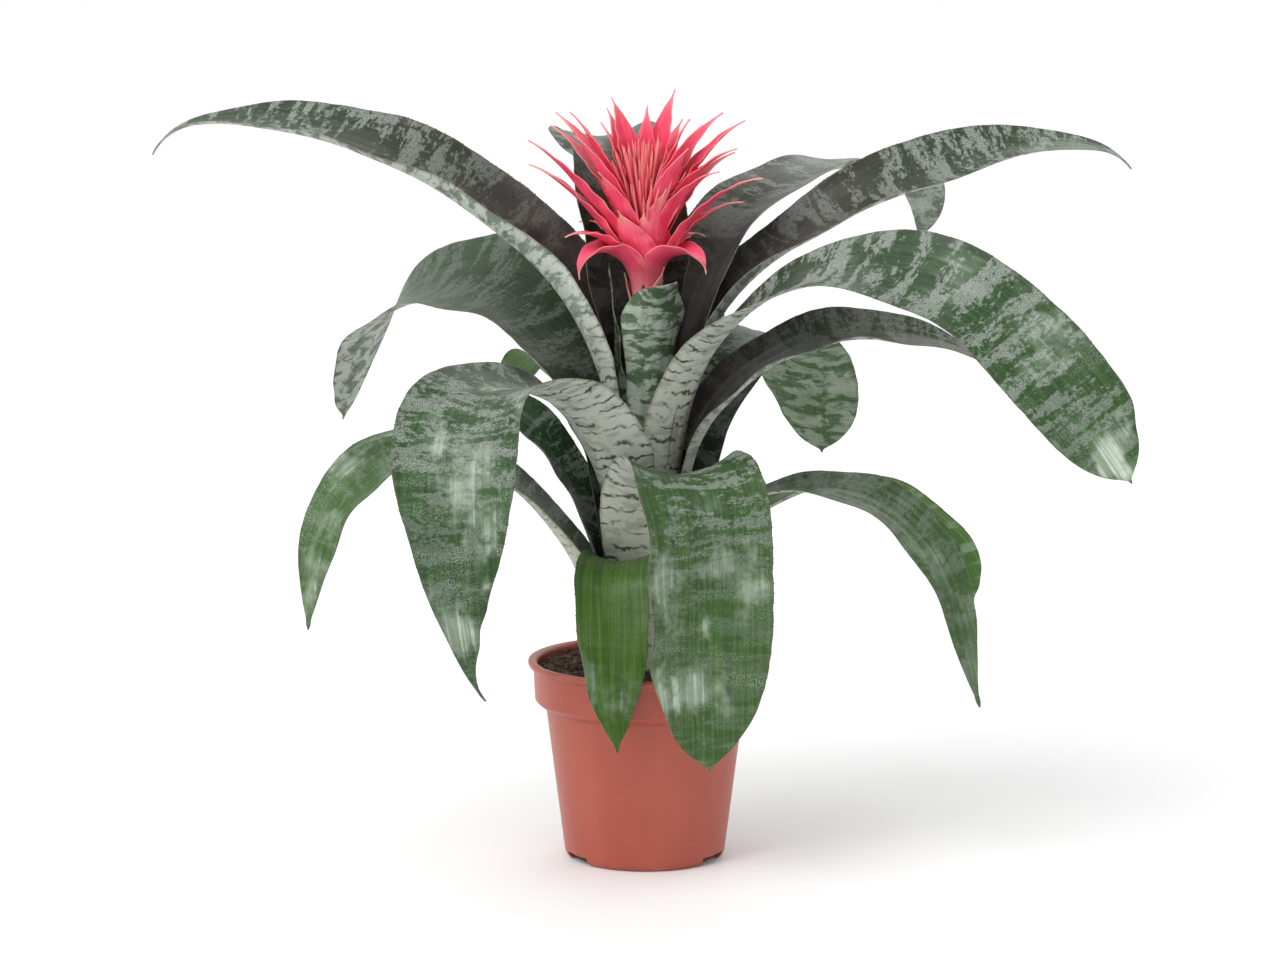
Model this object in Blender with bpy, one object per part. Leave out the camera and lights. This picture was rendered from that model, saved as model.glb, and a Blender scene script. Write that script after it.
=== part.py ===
"""Potted silver-vase bromeliad: a rosette of strap leaves round a pink flower head, in a nursery pot.

Metres, +Z up. The origin is the middle of the pot's foot, on the surface that it stands on.
Azimuth 0 is +X, 90 is +Y (the back) and -90 is the front of the plant.
"""

import math
from collections import namedtuple

import bmesh
import bpy
import numpy as np
from mathutils import Matrix, Vector

# ---------------------------------------------------------------- driving dimensions
GAP = 0.0004                  # clearance between two pieces that touch
TURN_STEPS = 48               # facets round every turned piece
GOLDEN_ANGLE = math.radians(137.5)

POT_HEIGHT = 0.103
POT_LIP_RADIUS = 0.060
POT_BAND_RADIUS = 0.0565      # outside of the deep collar below the lip
POT_BAND_HEIGHT = 0.022
POT_BODY_RADIUS = 0.0512      # outside of the wall just under the collar
POT_BASE_RADIUS = 0.0412
POT_WALL = 0.0013
POT_LIP_HEIGHT = 0.003
DRAIN_SLOTS = 3               # cut through the corner where the wall meets the floor
DRAIN_SLOT_ARC = 28           # degrees round the pot
DRAIN_SLOT_HEIGHT = 0.0043
DRAIN_SLOT_DEPTH = 0.0060     # inward from the wall

SOIL_BELOW_LIP = 0.0065
SOIL_MOUND = 0.0025           # rise of the soil towards the plant

LEAF_THICKNESS = 0.0009
LAYER_PITCH = 0.0016          # radial step from one sheath to the next
LAYERS = 11                   # sheaths stack in this many layers, 0 outermost
CORE_RADIUS = 0.0060          # stem inside the innermost sheath
SHEATH_WRAP = 106             # degrees that a sheath reaches round the stem
CROWN_STEP = 0.0012           # each layer starts this much higher up the stem
CROWN_DEPTH = 0.010           # stem below the outermost sheath, in the soil
CROWN_TOP_RADIUS = 0.0048     # stem's flat end, under the flower stalk
LEAF_NECK = 0.45              # share of a leaf over which the sheath opens out into the blade
LEAF_ROW = 0.017              # length of one row of faces along a leaf
LEAF_ROWS_LEAST = 12
LEAF_COLUMNS = 6
TIP_LEAST_WIDTH = 0.04        # share of a ribbon's width that is left at its very tip

STALK_RADIUS = 0.0042
STALK_END_CHAMFER = 0.0005    # inward, and twice as far down
STALK_RISE = 0.1965           # from the shoulder of the stem to where the lowest bract leaves the stalk
WHORL_STEP = 0.0056           # rise from one whorl of bracts to the next
BRACT_WRAP = 88               # degrees that a bract's foot reaches round the stalk
BRACT_THICKNESS = 0.0008
BRACT_NECK = 0.35             # share of a bract over which its foot opens out
BRACT_TIP = (0.45, 1.3, 1.0)  # where the tip starts, and how full and how round it is
BRACT_ROWS = 8
BRACT_COLUMNS = 2

SOIL_TOP = POT_HEIGHT - SOIL_BELOW_LIP
CROWN_Z = SOIL_TOP - 0.003    # shoulder of the stem under the outermost sheath
HEAD_BASE_HEIGHT = CROWN_Z + STALK_RISE

# ---------------------------------------------------------------- materials
COLOURS = {
    "terracotta_plastic": ((0.46, 0.105, 0.062), 0.45),
    "potting_soil": ((0.035, 0.020, 0.014), 0.95),
    "leaf_grey": ((0.17, 0.23, 0.18), 0.55),
    "leaf_green": ((0.06, 0.14, 0.045), 0.40),
    "stem_pale": ((0.45, 0.47, 0.33), 0.60),
    "stalk_pink": ((0.62, 0.16, 0.15), 0.50),
    "bract_pink": ((0.80, 0.075, 0.11), 0.45),
    "floret_coral": ((0.85, 0.17, 0.13), 0.45),
}


def material(name):
    """The named Principled material, made the first time that it is asked for."""
    made = bpy.data.materials.get(name)
    if made is None:
        made = bpy.data.materials.new(name)
        made.use_nodes = True
        colour, roughness = COLOURS[name]
        shader = made.node_tree.nodes["Principled BSDF"]
        shader.inputs["Base Color"].default_value = (*colour, 1.0)
        shader.inputs["Roughness"].default_value = roughness
        shader.inputs["Metallic"].default_value = 0.0
    return made


# ---------------------------------------------------------------- mesh helpers
def add_object(name, mesh, material_name, smooth_degrees=40):
    obj = bpy.data.objects.new(name, mesh)
    bpy.context.scene.collection.objects.link(obj)
    mesh.materials.append(material(material_name))
    mesh.shade_smooth()
    mesh.set_sharp_from_angle(angle=math.radians(smooth_degrees))
    return obj


def mesh_from_bmesh(name, bm):
    bmesh.ops.recalc_face_normals(bm, faces=bm.faces)
    mesh = bpy.data.meshes.new(name)
    bm.to_mesh(mesh)
    bm.free()
    return mesh


def turned(name, profile, material_name):
    """A closed turned solid. The profile runs from the axis, round the outside and back to the axis."""
    bm = bmesh.new()
    verts = [bm.verts.new((radius, 0.0, height)) for radius, height in profile]
    edges = [bm.edges.new(pair) for pair in zip(verts, verts[1:])]
    bmesh.ops.spin(
        bm, geom=verts + edges, axis=(0, 0, 1), cent=(0, 0, 0),
        angle=math.tau, steps=TURN_STEPS, use_merge=True,
    )
    bmesh.ops.remove_doubles(bm, verts=bm.verts, dist=1e-6)
    return add_object(name, mesh_from_bmesh(name, bm), material_name)


def cut(obj, cutter_mesh, name):
    """Cuts a closed mesh out of obj with an exact Boolean that stays on the object."""
    cutter = bpy.data.objects.new(name, cutter_mesh)
    bpy.context.scene.collection.objects.link(cutter)
    cutter.hide_render = True
    cutter.display_type = "WIRE"
    modifier = obj.modifiers.new(name, "BOOLEAN")
    modifier.operation = "DIFFERENCE"
    modifier.object = cutter


# ---------------------------------------------------------------- pot
def wall_radius(height):
    """Outside radius of the pot's plain wall at a height."""
    top = POT_HEIGHT - POT_BAND_HEIGHT
    return POT_BASE_RADIUS + (POT_BODY_RADIUS - POT_BASE_RADIUS) * height / top


def inner_radius(height):
    """Inside radius of the pot at a height, collar included."""
    collar = POT_HEIGHT - POT_BAND_HEIGHT + POT_WALL
    if height >= collar:
        return POT_BAND_RADIUS - POT_WALL
    return wall_radius(height) - POT_WALL


def make_pot():
    collar = POT_HEIGHT - POT_BAND_HEIGHT
    lip = POT_HEIGHT - POT_LIP_HEIGHT
    round_off = POT_WALL / 2
    profile = [
        (0.0, 0.0),
        (POT_BASE_RADIUS - POT_WALL, 0.0),
        (POT_BASE_RADIUS, POT_WALL),
        (wall_radius(collar - 2 * POT_WALL), collar - 2 * POT_WALL),
        (POT_BAND_RADIUS - 2 * POT_WALL, collar - POT_WALL),
        (POT_BAND_RADIUS - round_off, collar),
        (POT_BAND_RADIUS, collar + POT_WALL),
        (POT_BAND_RADIUS + round_off, lip - POT_WALL),
        (POT_LIP_RADIUS - round_off, lip),
        (POT_LIP_RADIUS, lip + round_off),
        (POT_LIP_RADIUS, POT_HEIGHT - round_off),
        (POT_LIP_RADIUS - round_off, POT_HEIGHT),
        (POT_BAND_RADIUS, POT_HEIGHT),
        (POT_BAND_RADIUS - POT_WALL, POT_HEIGHT - POT_WALL),
        (POT_BAND_RADIUS - POT_WALL, collar + POT_WALL),
        (inner_radius(collar), collar),
        (inner_radius(2 * POT_WALL), 2 * POT_WALL),
        (inner_radius(POT_WALL) - POT_WALL, POT_WALL),
        (0.0, POT_WALL),
    ]
    pot = turned("pot", profile, "terracotta_plastic")
    for number in range(DRAIN_SLOTS):
        middle = math.radians(90 + 360 / DRAIN_SLOTS * number)
        cut(pot, slot_mesh(middle), f"slot_cutter_{number + 1}")
    return pot


def slot_mesh(middle):
    """A block that opens the corner between the wall and the floor."""
    half = math.radians(DRAIN_SLOT_ARC / 2)
    inner = POT_BASE_RADIUS - DRAIN_SLOT_DEPTH
    outer = POT_BASE_RADIUS + 2 * POT_WALL
    corners = [
        (inner * math.cos(middle + side * half), inner * math.sin(middle + side * half))
        for side in (-1, 1)
    ] + [
        (outer * math.cos(middle + side * half), outer * math.sin(middle + side * half))
        for side in (1, -1)
    ]
    bm = bmesh.new()
    bottom = bm.faces.new([bm.verts.new((x, y, -POT_WALL)) for x, y in corners])
    made = bmesh.ops.extrude_face_region(bm, geom=[bottom])
    raised = [v for v in made["geom"] if isinstance(v, bmesh.types.BMVert)]
    bmesh.ops.translate(bm, verts=raised, vec=(0, 0, DRAIN_SLOT_HEIGHT + POT_WALL))
    return mesh_from_bmesh("slot_cutter", bm)


# ---------------------------------------------------------------- soil and stem
def layer_radius(layer):
    """Radius of the middle of a sheath's thickness. Layer 0 is the outermost."""
    return CORE_RADIUS + GAP + LEAF_THICKNESS / 2 + (LAYERS - 1 - layer) * LAYER_PITCH


CROWN_RADIUS = layer_radius(0) + LEAF_THICKNESS


def crown_height(radius):
    """Height of the stem's cone at a radius: the sheaths start on it, layer by layer."""
    return CROWN_Z + (CROWN_RADIUS - radius) * CROWN_STEP / LAYER_PITCH


def make_soil():
    floor = POT_WALL + GAP
    collar = POT_HEIGHT - POT_BAND_HEIGHT
    well = CROWN_RADIUS + GAP
    well_floor = CROWN_Z - CROWN_DEPTH - GAP
    return turned(
        "potting_soil",
        [
            (0.0, floor),
            (inner_radius(floor) - POT_WALL - 2 * GAP, floor),
            (inner_radius(floor + 2 * POT_WALL) - GAP, floor + 2 * POT_WALL),
            (inner_radius(collar) - GAP, collar + GAP),
            (inner_radius(SOIL_TOP) - GAP, collar + POT_WALL + 2 * GAP),
            (inner_radius(SOIL_TOP) - GAP, SOIL_TOP - SOIL_MOUND),
            ((inner_radius(SOIL_TOP) + well) / 2, SOIL_TOP - SOIL_MOUND / 3),
            (well, SOIL_TOP),
            (well, well_floor),
            (0.0, well_floor),
        ],
        "potting_soil",
    )


def make_crown():
    """The short stem that every sheath grows from: a cone on a plug that sits in the soil."""
    top = crown_height(CORE_RADIUS)
    return turned(
        "root_crown",
        [
            (0.0, CROWN_Z - CROWN_DEPTH),
            (CROWN_RADIUS - 2 * LEAF_THICKNESS, CROWN_Z - CROWN_DEPTH),
            (CROWN_RADIUS, CROWN_Z - CROWN_DEPTH + 2 * LEAF_THICKNESS),
            (CROWN_RADIUS, CROWN_Z),
            (CORE_RADIUS, top),
            (CROWN_TOP_RADIUS, top + CORE_RADIUS),
            (0.0, top + CORE_RADIUS),
        ],
        "stem_pale",
    )


def head_top():
    """Height of the stalk's flat end, which the florets stand on."""
    return HEAD_BASE_HEIGHT + WHORL_STEP * len(WHORLS)


def make_stalk():
    """The flower stalk and the axis of the head, which the bracts are seated round."""
    bottom = crown_height(CORE_RADIUS) + CORE_RADIUS + GAP
    return turned(
        "flower_stalk",
        [
            (0.0, bottom),
            (STALK_RADIUS, bottom),
            (STALK_RADIUS, head_top() - 2 * STALK_END_CHAMFER),
            (STALK_RADIUS - STALK_END_CHAMFER, head_top()),
            (0.0, head_top()),
        ],
        "stalk_pink",
    )


# ---------------------------------------------------------------- ribbons: leaves and bracts
def spline(values, share):
    """Smooth curve through evenly spaced values, read at shares from 0 to 1 (Catmull-Rom)."""
    values = np.asarray(values, float)
    if len(values) == 1:
        return np.full_like(share, values[0])
    padded = np.concatenate([[2 * values[0] - values[1]], values, [2 * values[-1] - values[-2]]])
    place = np.clip(share, 0, 1) * (len(values) - 1)
    left = np.minimum(place.astype(int), len(values) - 2)
    x = place - left
    a, b, c, d = (padded[left + k] for k in range(4))
    return b + 0.5 * x * (c - a + x * (2 * a - 5 * b + 4 * c - d + x * (3 * (b - c) + d - a)))


def smoothstep(low, high, value):
    x = np.clip((value - low) / (high - low), 0, 1)
    return x * x * (3 - 2 * x)


Ribbon = namedtuple("Ribbon", "start_radius start_height azimuth length base_width width neck "
                              "pitch turn roll cup tip wrap thickness")


def centreline(ribbon, steps):
    """Points, tangents, sideways and upward directions along a ribbon's middle."""
    share = np.linspace(0, 1, steps + 1)
    pitch = np.radians(spline(ribbon.pitch, share))
    heading = np.radians(ribbon.azimuth + spline(ribbon.turn, share))
    roll = np.radians(spline(ribbon.roll, share))
    flat = np.cos(pitch)
    tangent = np.stack([flat * np.cos(heading), flat * np.sin(heading), np.sin(pitch)], 1)
    side = np.stack([-np.sin(heading), np.cos(heading), 0 * heading], 1)
    up = np.cross(tangent, side)
    turned_side = np.cos(roll)[:, None] * side + np.sin(roll)[:, None] * up
    turned_up = np.cos(roll)[:, None] * up - np.sin(roll)[:, None] * side
    azimuth = math.radians(ribbon.azimuth)
    start = np.array([
        ribbon.start_radius * math.cos(azimuth),
        ribbon.start_radius * math.sin(azimuth),
        ribbon.start_height,
    ])
    middle = (tangent[1:] + tangent[:-1]) / 2 * (ribbon.length / steps)
    points = start + np.concatenate([np.zeros((1, 3)), np.cumsum(middle, 0)])
    return share, points, turned_side, turned_up


def ribbon_surface(ribbon, along, across):
    """Grid of points, (along + 1) by (across + 1), on the middle surface of a ribbon."""
    fine = 8
    share, points, side, up = (a[::fine] for a in centreline(ribbon, along * fine))
    distance = np.maximum(np.hypot(points[:, 0], points[:, 1]), ribbon.start_radius)
    width = ribbon.base_width + (ribbon.width - ribbon.base_width) * smoothstep(0, ribbon.neck, share)
    tip_start, tip_power, tip_round = ribbon.tip
    into_tip = np.clip((share - tip_start) / (1 - tip_start), 0, 1)
    width = width * np.maximum((1 - into_tip ** tip_power) ** tip_round, TIP_LEAST_WIDTH)
    wrap = math.radians(ribbon.wrap)
    width = np.minimum(width, wrap * distance)
    arc = np.minimum(width / distance, wrap) + np.radians(spline(ribbon.cup, share))
    arc = np.maximum(arc, 0.02)
    radius = width / arc
    angle = np.linspace(-0.5, 0.5, across + 1)[None, :] * arc[:, None]
    return (
        points[:, None, :]
        + side[:, None, :] * (radius[:, None] * np.sin(angle))[..., None]
        + up[:, None, :] * (radius[:, None] * (1 - np.cos(angle)))[..., None]
    )


def surface_normals(grid):
    along = np.gradient(grid, axis=0)
    across = np.gradient(grid, axis=1)
    normal = np.cross(along, across)
    return normal / np.maximum(np.linalg.norm(normal, axis=2, keepdims=True), 1e-12)


def make_ribbon(name, ribbon, material_name, along, across):
    """A thin closed solid: the ribbon's surface thickened to both sides."""
    grid = ribbon_surface(ribbon, along, across)
    offset = surface_normals(grid) * ribbon.thickness / 2
    bm = bmesh.new()
    upper = [[bm.verts.new(p) for p in row] for row in grid + offset]
    lower = [[bm.verts.new(p) for p in row] for row in grid - offset]
    for i in range(along):
        for j in range(across):
            bm.faces.new((upper[i][j], upper[i + 1][j], upper[i + 1][j + 1], upper[i][j + 1]))
            bm.faces.new((lower[i][j], lower[i][j + 1], lower[i + 1][j + 1], lower[i + 1][j]))
        for j, flip in ((0, True), (across, False)):
            ring = [upper[i][j], upper[i + 1][j], lower[i + 1][j], lower[i][j]]
            bm.faces.new(ring[::-1] if flip else ring)
    for j in range(across):
        bm.faces.new((upper[0][j], upper[0][j + 1], lower[0][j + 1], lower[0][j]))
        bm.faces.new((upper[-1][j + 1], upper[-1][j], lower[-1][j], lower[-1][j + 1]))
    return add_object(name, mesh_from_bmesh(name, bm), material_name)


# ---------------------------------------------------------------- leaves
# Every list is read at even steps from the leaf's base to its tip, in degrees:
# pitch above the horizontal, turn of the heading, roll about the midrib, extra cup of the blade.
Leaf = namedtuple("Leaf", "name layer azimuth length width pitch turn roll cup tip colour")

LEAVES = [
    Leaf("leaf_01_left_low", 0, 178, 0.281, 0.045,
         (88, 76, 57, 44, 18, -19, -54, -78, -79), (0, 0, 10, 24), (0, 0, -20, -32), (0, 0, 20, 15),
         (0.55, 1.9, 0.9), "leaf_green"),
    Leaf("leaf_02_right_low", 0, 9, 0.243, 0.042,
         (88, 82, 60, 33, 14, -8, -38, -60, -70), (0,), (0, 0, -15, -30), (0, 0, 15, 15),
         (0.80, 2.6, 0.7), "leaf_green"),
    Leaf("leaf_03_front_low", 1, -111, 0.180, 0.038,
         (88, 85, 70, -5, -68, -84, -85, -80), (0, 4, 30, 60), (0,), (0, 0, 15, 15),
         (0.60, 2.4, 0.8), "leaf_green"),
    Leaf("leaf_04_back_low", 1, 82, 0.200, 0.040,
         (88, 84, 58, 8, -45, -75, -85), (0,), (0,), (0, 0, 10, 10),
         (0.55, 2.2, 0.9), "leaf_green"),
    Leaf("leaf_05_right_droop", 2, -16, 0.292, 0.038,
         (88, 82, 57, 22, -4, -34, -63, -78, -73), (0,), (0, 0, 25, 35), (0, 0, 15, 15),
         (0.55, 2.0, 0.9), "leaf_green"),
    Leaf("leaf_06_left_hidden", 2, 162, 0.200, 0.034,
         (88, 87, 78, 70, 62, 48, 20, -22, -43), (0,), (0, 0, -15, -20), (0, 0, 30, 20),
         (0.6, 2.2, 0.9), "leaf_grey"),
    Leaf("leaf_07_front_wide", 3, -70, 0.289, 0.069,
         (88, 83, 72, 10, -75, -88, -88, -88), (0, 0, 6), (0,), (0,),
         (0.72, 2.6, 0.7), "leaf_green"),
    Leaf("leaf_08_back_right", 3, 46, 0.300, 0.058,
         (88, 86, 75, 66, 48, 12, -38, -58, -65), (0, 0, 10, 25), (0,), (0, 0, 15, 10),
         (0.78, 2.6, 0.6), "leaf_grey"),
    Leaf("leaf_09_back_left", 4, 127, 0.224, 0.038,
         (88, 88, 80, 74, 63, 48, 20, -30, -76), (0,), (0,), (0, 0, 15, 10),
         (0.78, 2.6, 0.7), "leaf_green"),
    Leaf("leaf_10_right_mid", 4, 8, 0.290, 0.042,
         (88, 88, 86, 73, 46, 25, 5, -12, -30), (0,), (0, 0, 15, 25), (0, 0, 35, 25),
         (0.6, 2.2, 0.9), "leaf_grey"),
    Leaf("leaf_11_left_arch", 5, -143, 0.364, 0.072,
         (88, 87, 77, 44, 4, -48, -80, -78, -68), (0, -4, 8, 60, 110), (0,), (0, 0, 20, 5),
         (0.50, 1.9, 1.0), "leaf_green"),
    Leaf("leaf_12_back_mid", 5, 80, 0.330, 0.042,
         (88, 88, 83, 60, 28, -15, -60, -78), (0,), (0,), (0, 0, 15, 10),
         (0.7, 2.4, 0.7), "leaf_grey"),
    Leaf("leaf_13_left_twist", 6, 143, 0.372, 0.062,
         (88, 88, 84, 62, 34, 4, -23, -58, -72), (0,), (0, 0, -24, -24, -10), (0, 0, 15, 10),
         (0.75, 2.4, 0.7), "leaf_grey"),
    Leaf("leaf_14_right_wide", 6, -28, 0.446, 0.054,
         (88, 88, 82, 53, 25, -2, -33, -47, -54), (0,), (0, 0, 8, 30, 42, 48), (0, 0, 20, 5),
         (0.87, 2.6, 0.7), "leaf_green"),
    Leaf("leaf_15_left_long", 7, 168, 0.442, 0.066,
         (88, 88, 85, 65, 43, 31, 16, 2, -24), (0,), (0, 0, -8, -13, -8), (0, 0, 70, 75, 50, 20),
         (0.66, 1.7, 0.9), "leaf_grey"),
    Leaf("leaf_16_right_long", 7, 14, 0.430, 0.050,
         (88, 88, 84, 66, 38, 27, 17, 3, -22), (0,), (0, 0, 5, 28, 15), (0, 0, 35, 60, 30),
         (0.66, 1.7, 0.9), "leaf_grey"),
    Leaf("leaf_17_back_right_high", 8, 46, 0.420, 0.052,
         (88, 88, 85, 72, 50, 22, 0, -14, -50), (0,), (0,), (0, 0, 20, 20),
         (0.75, 2.4, 0.7), "leaf_grey"),
    Leaf("leaf_18_back_upright", 9, 108, 0.325, 0.064,
         (88, 88, 88, 84, 78, 66, 10, -50), (0,), (0,), (0, 0, 20, 10),
         (0.8, 2.4, 0.7), "leaf_grey"),
    Leaf("leaf_19_inner_left", 10, 178, 0.200, 0.022,
         (88, 88, 86, 84), (0,), (0,), (0,), (0.6, 2.2, 0.9), "leaf_grey"),
    Leaf("leaf_20_inner_front", 10, -64, 0.200, 0.048,
         (88, 88, 88, 86, 76), (0,), (0,), (0, 10),
         (0.70, 2.8, 0.7), "leaf_grey"),
]


def leaf_ribbon(leaf):
    radius = layer_radius(leaf.layer)
    inner = radius - LEAF_THICKNESS / 2
    seat = GAP * math.hypot(1, CROWN_STEP / LAYER_PITCH)
    return Ribbon(
        start_radius=radius, start_height=crown_height(inner) + seat,
        azimuth=leaf.azimuth, length=leaf.length,
        base_width=radius * math.radians(SHEATH_WRAP), width=leaf.width, neck=LEAF_NECK,
        pitch=leaf.pitch, turn=leaf.turn, roll=leaf.roll, cup=leaf.cup, tip=leaf.tip,
        wrap=SHEATH_WRAP, thickness=LEAF_THICKNESS,
    )


# ---------------------------------------------------------------- flower head
Bract = namedtuple("Bract", "azimuth length width pitch turn roll cup")

# Whorls of three bracts, lowest first. Angles are read as for the leaves.
WHORLS = [
    (
        Bract(-168, 0.060, 0.014, (62, 56, 30, -50, -80), (0,), (0,), (0, 10)),
        Bract(-20, 0.062, 0.015, (64, 60, 25, -45, -60), (0,), (0,), (0, 10)),
        Bract(92, 0.044, 0.014, (62, 58, 50), (0,), (0,), (0, 10)),
    ),
    (
        Bract(-118, 0.050, 0.020, (64, 62, 58, 30), (0,), (0,), (0, 10)),
        Bract(14, 0.062, 0.009, (72, 62, 40, 10), (0,), (0,), (0, 0, 20)),
        Bract(126, 0.048, 0.012, (66, 62, 55), (0,), (0,), (0, 10)),
    ),
    (
        Bract(-62, 0.056, 0.014, (68, 66, 60, 20), (0,), (0,), (0, 10)),
        Bract(60, 0.050, 0.012, (68, 64, 58), (0,), (0,), (0, 10)),
        Bract(174, 0.072, 0.010, (72, 60, 20, -80, -150), (0,), (0,), (0, 0, 20)),
    ),
    (
        Bract(-102, 0.046, 0.011, (68, 70, 64, 10), (0,), (0,), (0, 10)),
        Bract(12, 0.078, 0.009, (74, 60, 36, -10), (0,), (0,), (0, 0, 20)),
        Bract(148, 0.084, 0.010, (70, 60, 42, 15), (0,), (0,), (0, 0, 20)),
    ),
    (
        Bract(-162, 0.078, 0.011, (74, 62, 46, 15), (0,), (0,), (0, 0, 20)),
        Bract(-36, 0.078, 0.010, (74, 64, 50, 20), (0,), (0,), (0, 0, 20)),
        Bract(76, 0.056, 0.012, (66, 66, 64), (0,), (0,), (0, 10)),
    ),
    (
        Bract(-132, 0.070, 0.012, (76, 68, 64, 50), (0,), (0,), (0, 10)),
        Bract(-12, 0.074, 0.011, (76, 66, 54, 40), (0,), (0,), (0, 0, 20)),
        Bract(112, 0.062, 0.012, (76, 75, 75, 76), (0,), (0,), (0, 10)),
    ),
    (
        Bract(176, 0.070, 0.012, (78, 66, 57, 50), (0,), (0,), (0, 0, 20)),
        Bract(34, 0.076, 0.011, (78, 66, 54, 32), (0,), (0,), (0, 0, 20)),
        Bract(-88, 0.058, 0.010, (82, 84, 86, 82), (0,), (0,), (0, 10)),
    ),
    (
        Bract(64, 0.066, 0.013, (84, 80, 79, 82), (0,), (0,), (0, 10)),
    ),
]

FLORETS = 10
FLORET_RADIUS = 0.0010
FLORET_SPACING = 0.00121      # the spiral's radius grows by this times the root of the number
FLORET_SIDES = 6
FLORET_LENGTH = 0.040
FLORET_LEAN = 5               # degrees outward at the edge of the tuft
# Up a floret: share of its length, share of its radius.
FLORET_PROFILE = [(0.0, 0.5), (0.35, 0.9), (0.65, 1.0), (0.88, 0.7), (1.0, 0.15)]


def bract_ribbon(bract, whorl):
    radius = STALK_RADIUS + GAP + BRACT_THICKNESS
    return Ribbon(
        start_radius=radius, start_height=HEAD_BASE_HEIGHT + WHORL_STEP * whorl,
        azimuth=bract.azimuth, length=bract.length,
        base_width=radius * math.radians(BRACT_WRAP), width=bract.width, neck=BRACT_NECK,
        pitch=bract.pitch, turn=bract.turn, roll=bract.roll, cup=bract.cup, tip=BRACT_TIP,
        wrap=BRACT_WRAP, thickness=BRACT_THICKNESS,
    )


def make_floret(number):
    """One closed bud: a spindle that stands on the end of the stalk, set out on a spiral."""
    reach = FLORET_SPACING * math.sqrt(number + 0.5)
    edge = FLORET_SPACING * math.sqrt(FLORETS)
    lean = math.radians(FLORET_LEAN) * reach / edge
    bm = bmesh.new()
    rings = []
    for share, swell in FLORET_PROFILE:
        turn = Matrix.Rotation(GOLDEN_ANGLE * number, 4, "Z")
        place = turn @ Matrix.Translation((reach, 0, head_top() + GAP)) @ Matrix.Rotation(lean, 4, "Y")
        base = place @ Matrix.Translation((0, 0, share * FLORET_LENGTH + FLORET_RADIUS * math.sin(lean)))
        ring = [
            bm.verts.new(base @ Vector((
                swell * FLORET_RADIUS * math.cos(math.tau * k / FLORET_SIDES),
                swell * FLORET_RADIUS * math.sin(math.tau * k / FLORET_SIDES),
                0.0,
            )))
            for k in range(FLORET_SIDES)
        ]
        rings.append(ring)
    for low, high in zip(rings, rings[1:]):
        for k in range(FLORET_SIDES):
            bm.faces.new((low[k], low[(k + 1) % FLORET_SIDES], high[(k + 1) % FLORET_SIDES], high[k]))
    bm.faces.new(rings[0][::-1])
    bm.faces.new(rings[-1])
    name = f"floret_{number + 1:02d}"
    return add_object(name, mesh_from_bmesh(name, bm), "floret_coral")


# ---------------------------------------------------------------- build
def clear_scene():
    for obj in list(bpy.data.objects):
        bpy.data.objects.remove(obj, do_unlink=True)


def main():
    clear_scene()
    make_pot()
    make_soil()
    make_crown()
    make_stalk()
    for leaf in LEAVES:
        rows = max(LEAF_ROWS_LEAST, round(leaf.length / LEAF_ROW))
        make_ribbon(leaf.name, leaf_ribbon(leaf), leaf.colour, rows, LEAF_COLUMNS)
    number = 0
    for level, whorl in enumerate(WHORLS):
        for bract in whorl:
            number += 1
            name = f"bract_{number:02d}"
            make_ribbon(name, bract_ribbon(bract, level), "bract_pink", BRACT_ROWS, BRACT_COLUMNS)
    for number in range(FLORETS):
        make_floret(number)


main()
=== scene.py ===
"""Looks of the potted silver-vase bromeliad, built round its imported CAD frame.

Metres, +Z up, -Y to the front, as in the CAD. Each leaf follows the same ribbon as its CAD solid,
drawn finer. The bracts are redrawn whorl by whorl from the places of their tips. Leaves and bracts
get their skins from node materials that read two things off the mesh: its own coordinates in
metres and a painted "look" that changes along it.
"""

import math
import random
from collections import namedtuple

import bpy
import numpy as np
from mathutils import Matrix, Vector, noise


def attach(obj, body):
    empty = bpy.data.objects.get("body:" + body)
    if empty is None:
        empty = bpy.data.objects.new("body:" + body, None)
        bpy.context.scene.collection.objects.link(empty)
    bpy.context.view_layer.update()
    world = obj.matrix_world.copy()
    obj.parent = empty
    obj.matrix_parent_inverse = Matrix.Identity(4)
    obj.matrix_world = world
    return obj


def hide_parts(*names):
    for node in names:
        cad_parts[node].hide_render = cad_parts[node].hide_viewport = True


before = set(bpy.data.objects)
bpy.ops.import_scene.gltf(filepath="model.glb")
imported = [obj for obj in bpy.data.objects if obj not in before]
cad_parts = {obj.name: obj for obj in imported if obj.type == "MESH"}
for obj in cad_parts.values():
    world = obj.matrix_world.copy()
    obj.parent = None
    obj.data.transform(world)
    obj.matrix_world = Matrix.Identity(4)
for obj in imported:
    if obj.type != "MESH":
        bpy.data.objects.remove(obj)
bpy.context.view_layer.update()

# ---- dimensions shared with the CAD
GAP = 0.0004
POT_HEIGHT = 0.103
POT_LIP_RADIUS = 0.06
POT_BAND_RADIUS = 0.0565
POT_BAND_HEIGHT = 0.022
POT_BODY_RADIUS = 0.0512
POT_BASE_RADIUS = 0.0412
POT_WALL = 0.0013
POT_LIP_HEIGHT = 0.003
DRAIN_SLOTS = 3
DRAIN_SLOT_ARC = 28
DRAIN_SLOT_HEIGHT = 0.0043
DRAIN_SLOT_DEPTH = 0.006
SOIL_BELOW_LIP = 0.0065
SOIL_MOUND = 0.0025
LEAF_THICKNESS = 0.0009
LAYER_PITCH = 0.0016
LAYERS = 11
CORE_RADIUS = 0.006
CROWN_STEP = 0.0012
STALK_RADIUS = 0.0042
HEAD_BASE_HEIGHT = 0.29
WHORL_STEP = 0.0056
BRACT_THICKNESS = 0.0008
SOIL_TOP = POT_HEIGHT - SOIL_BELOW_LIP
CROWN_Z = SOIL_TOP - 0.003

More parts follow.
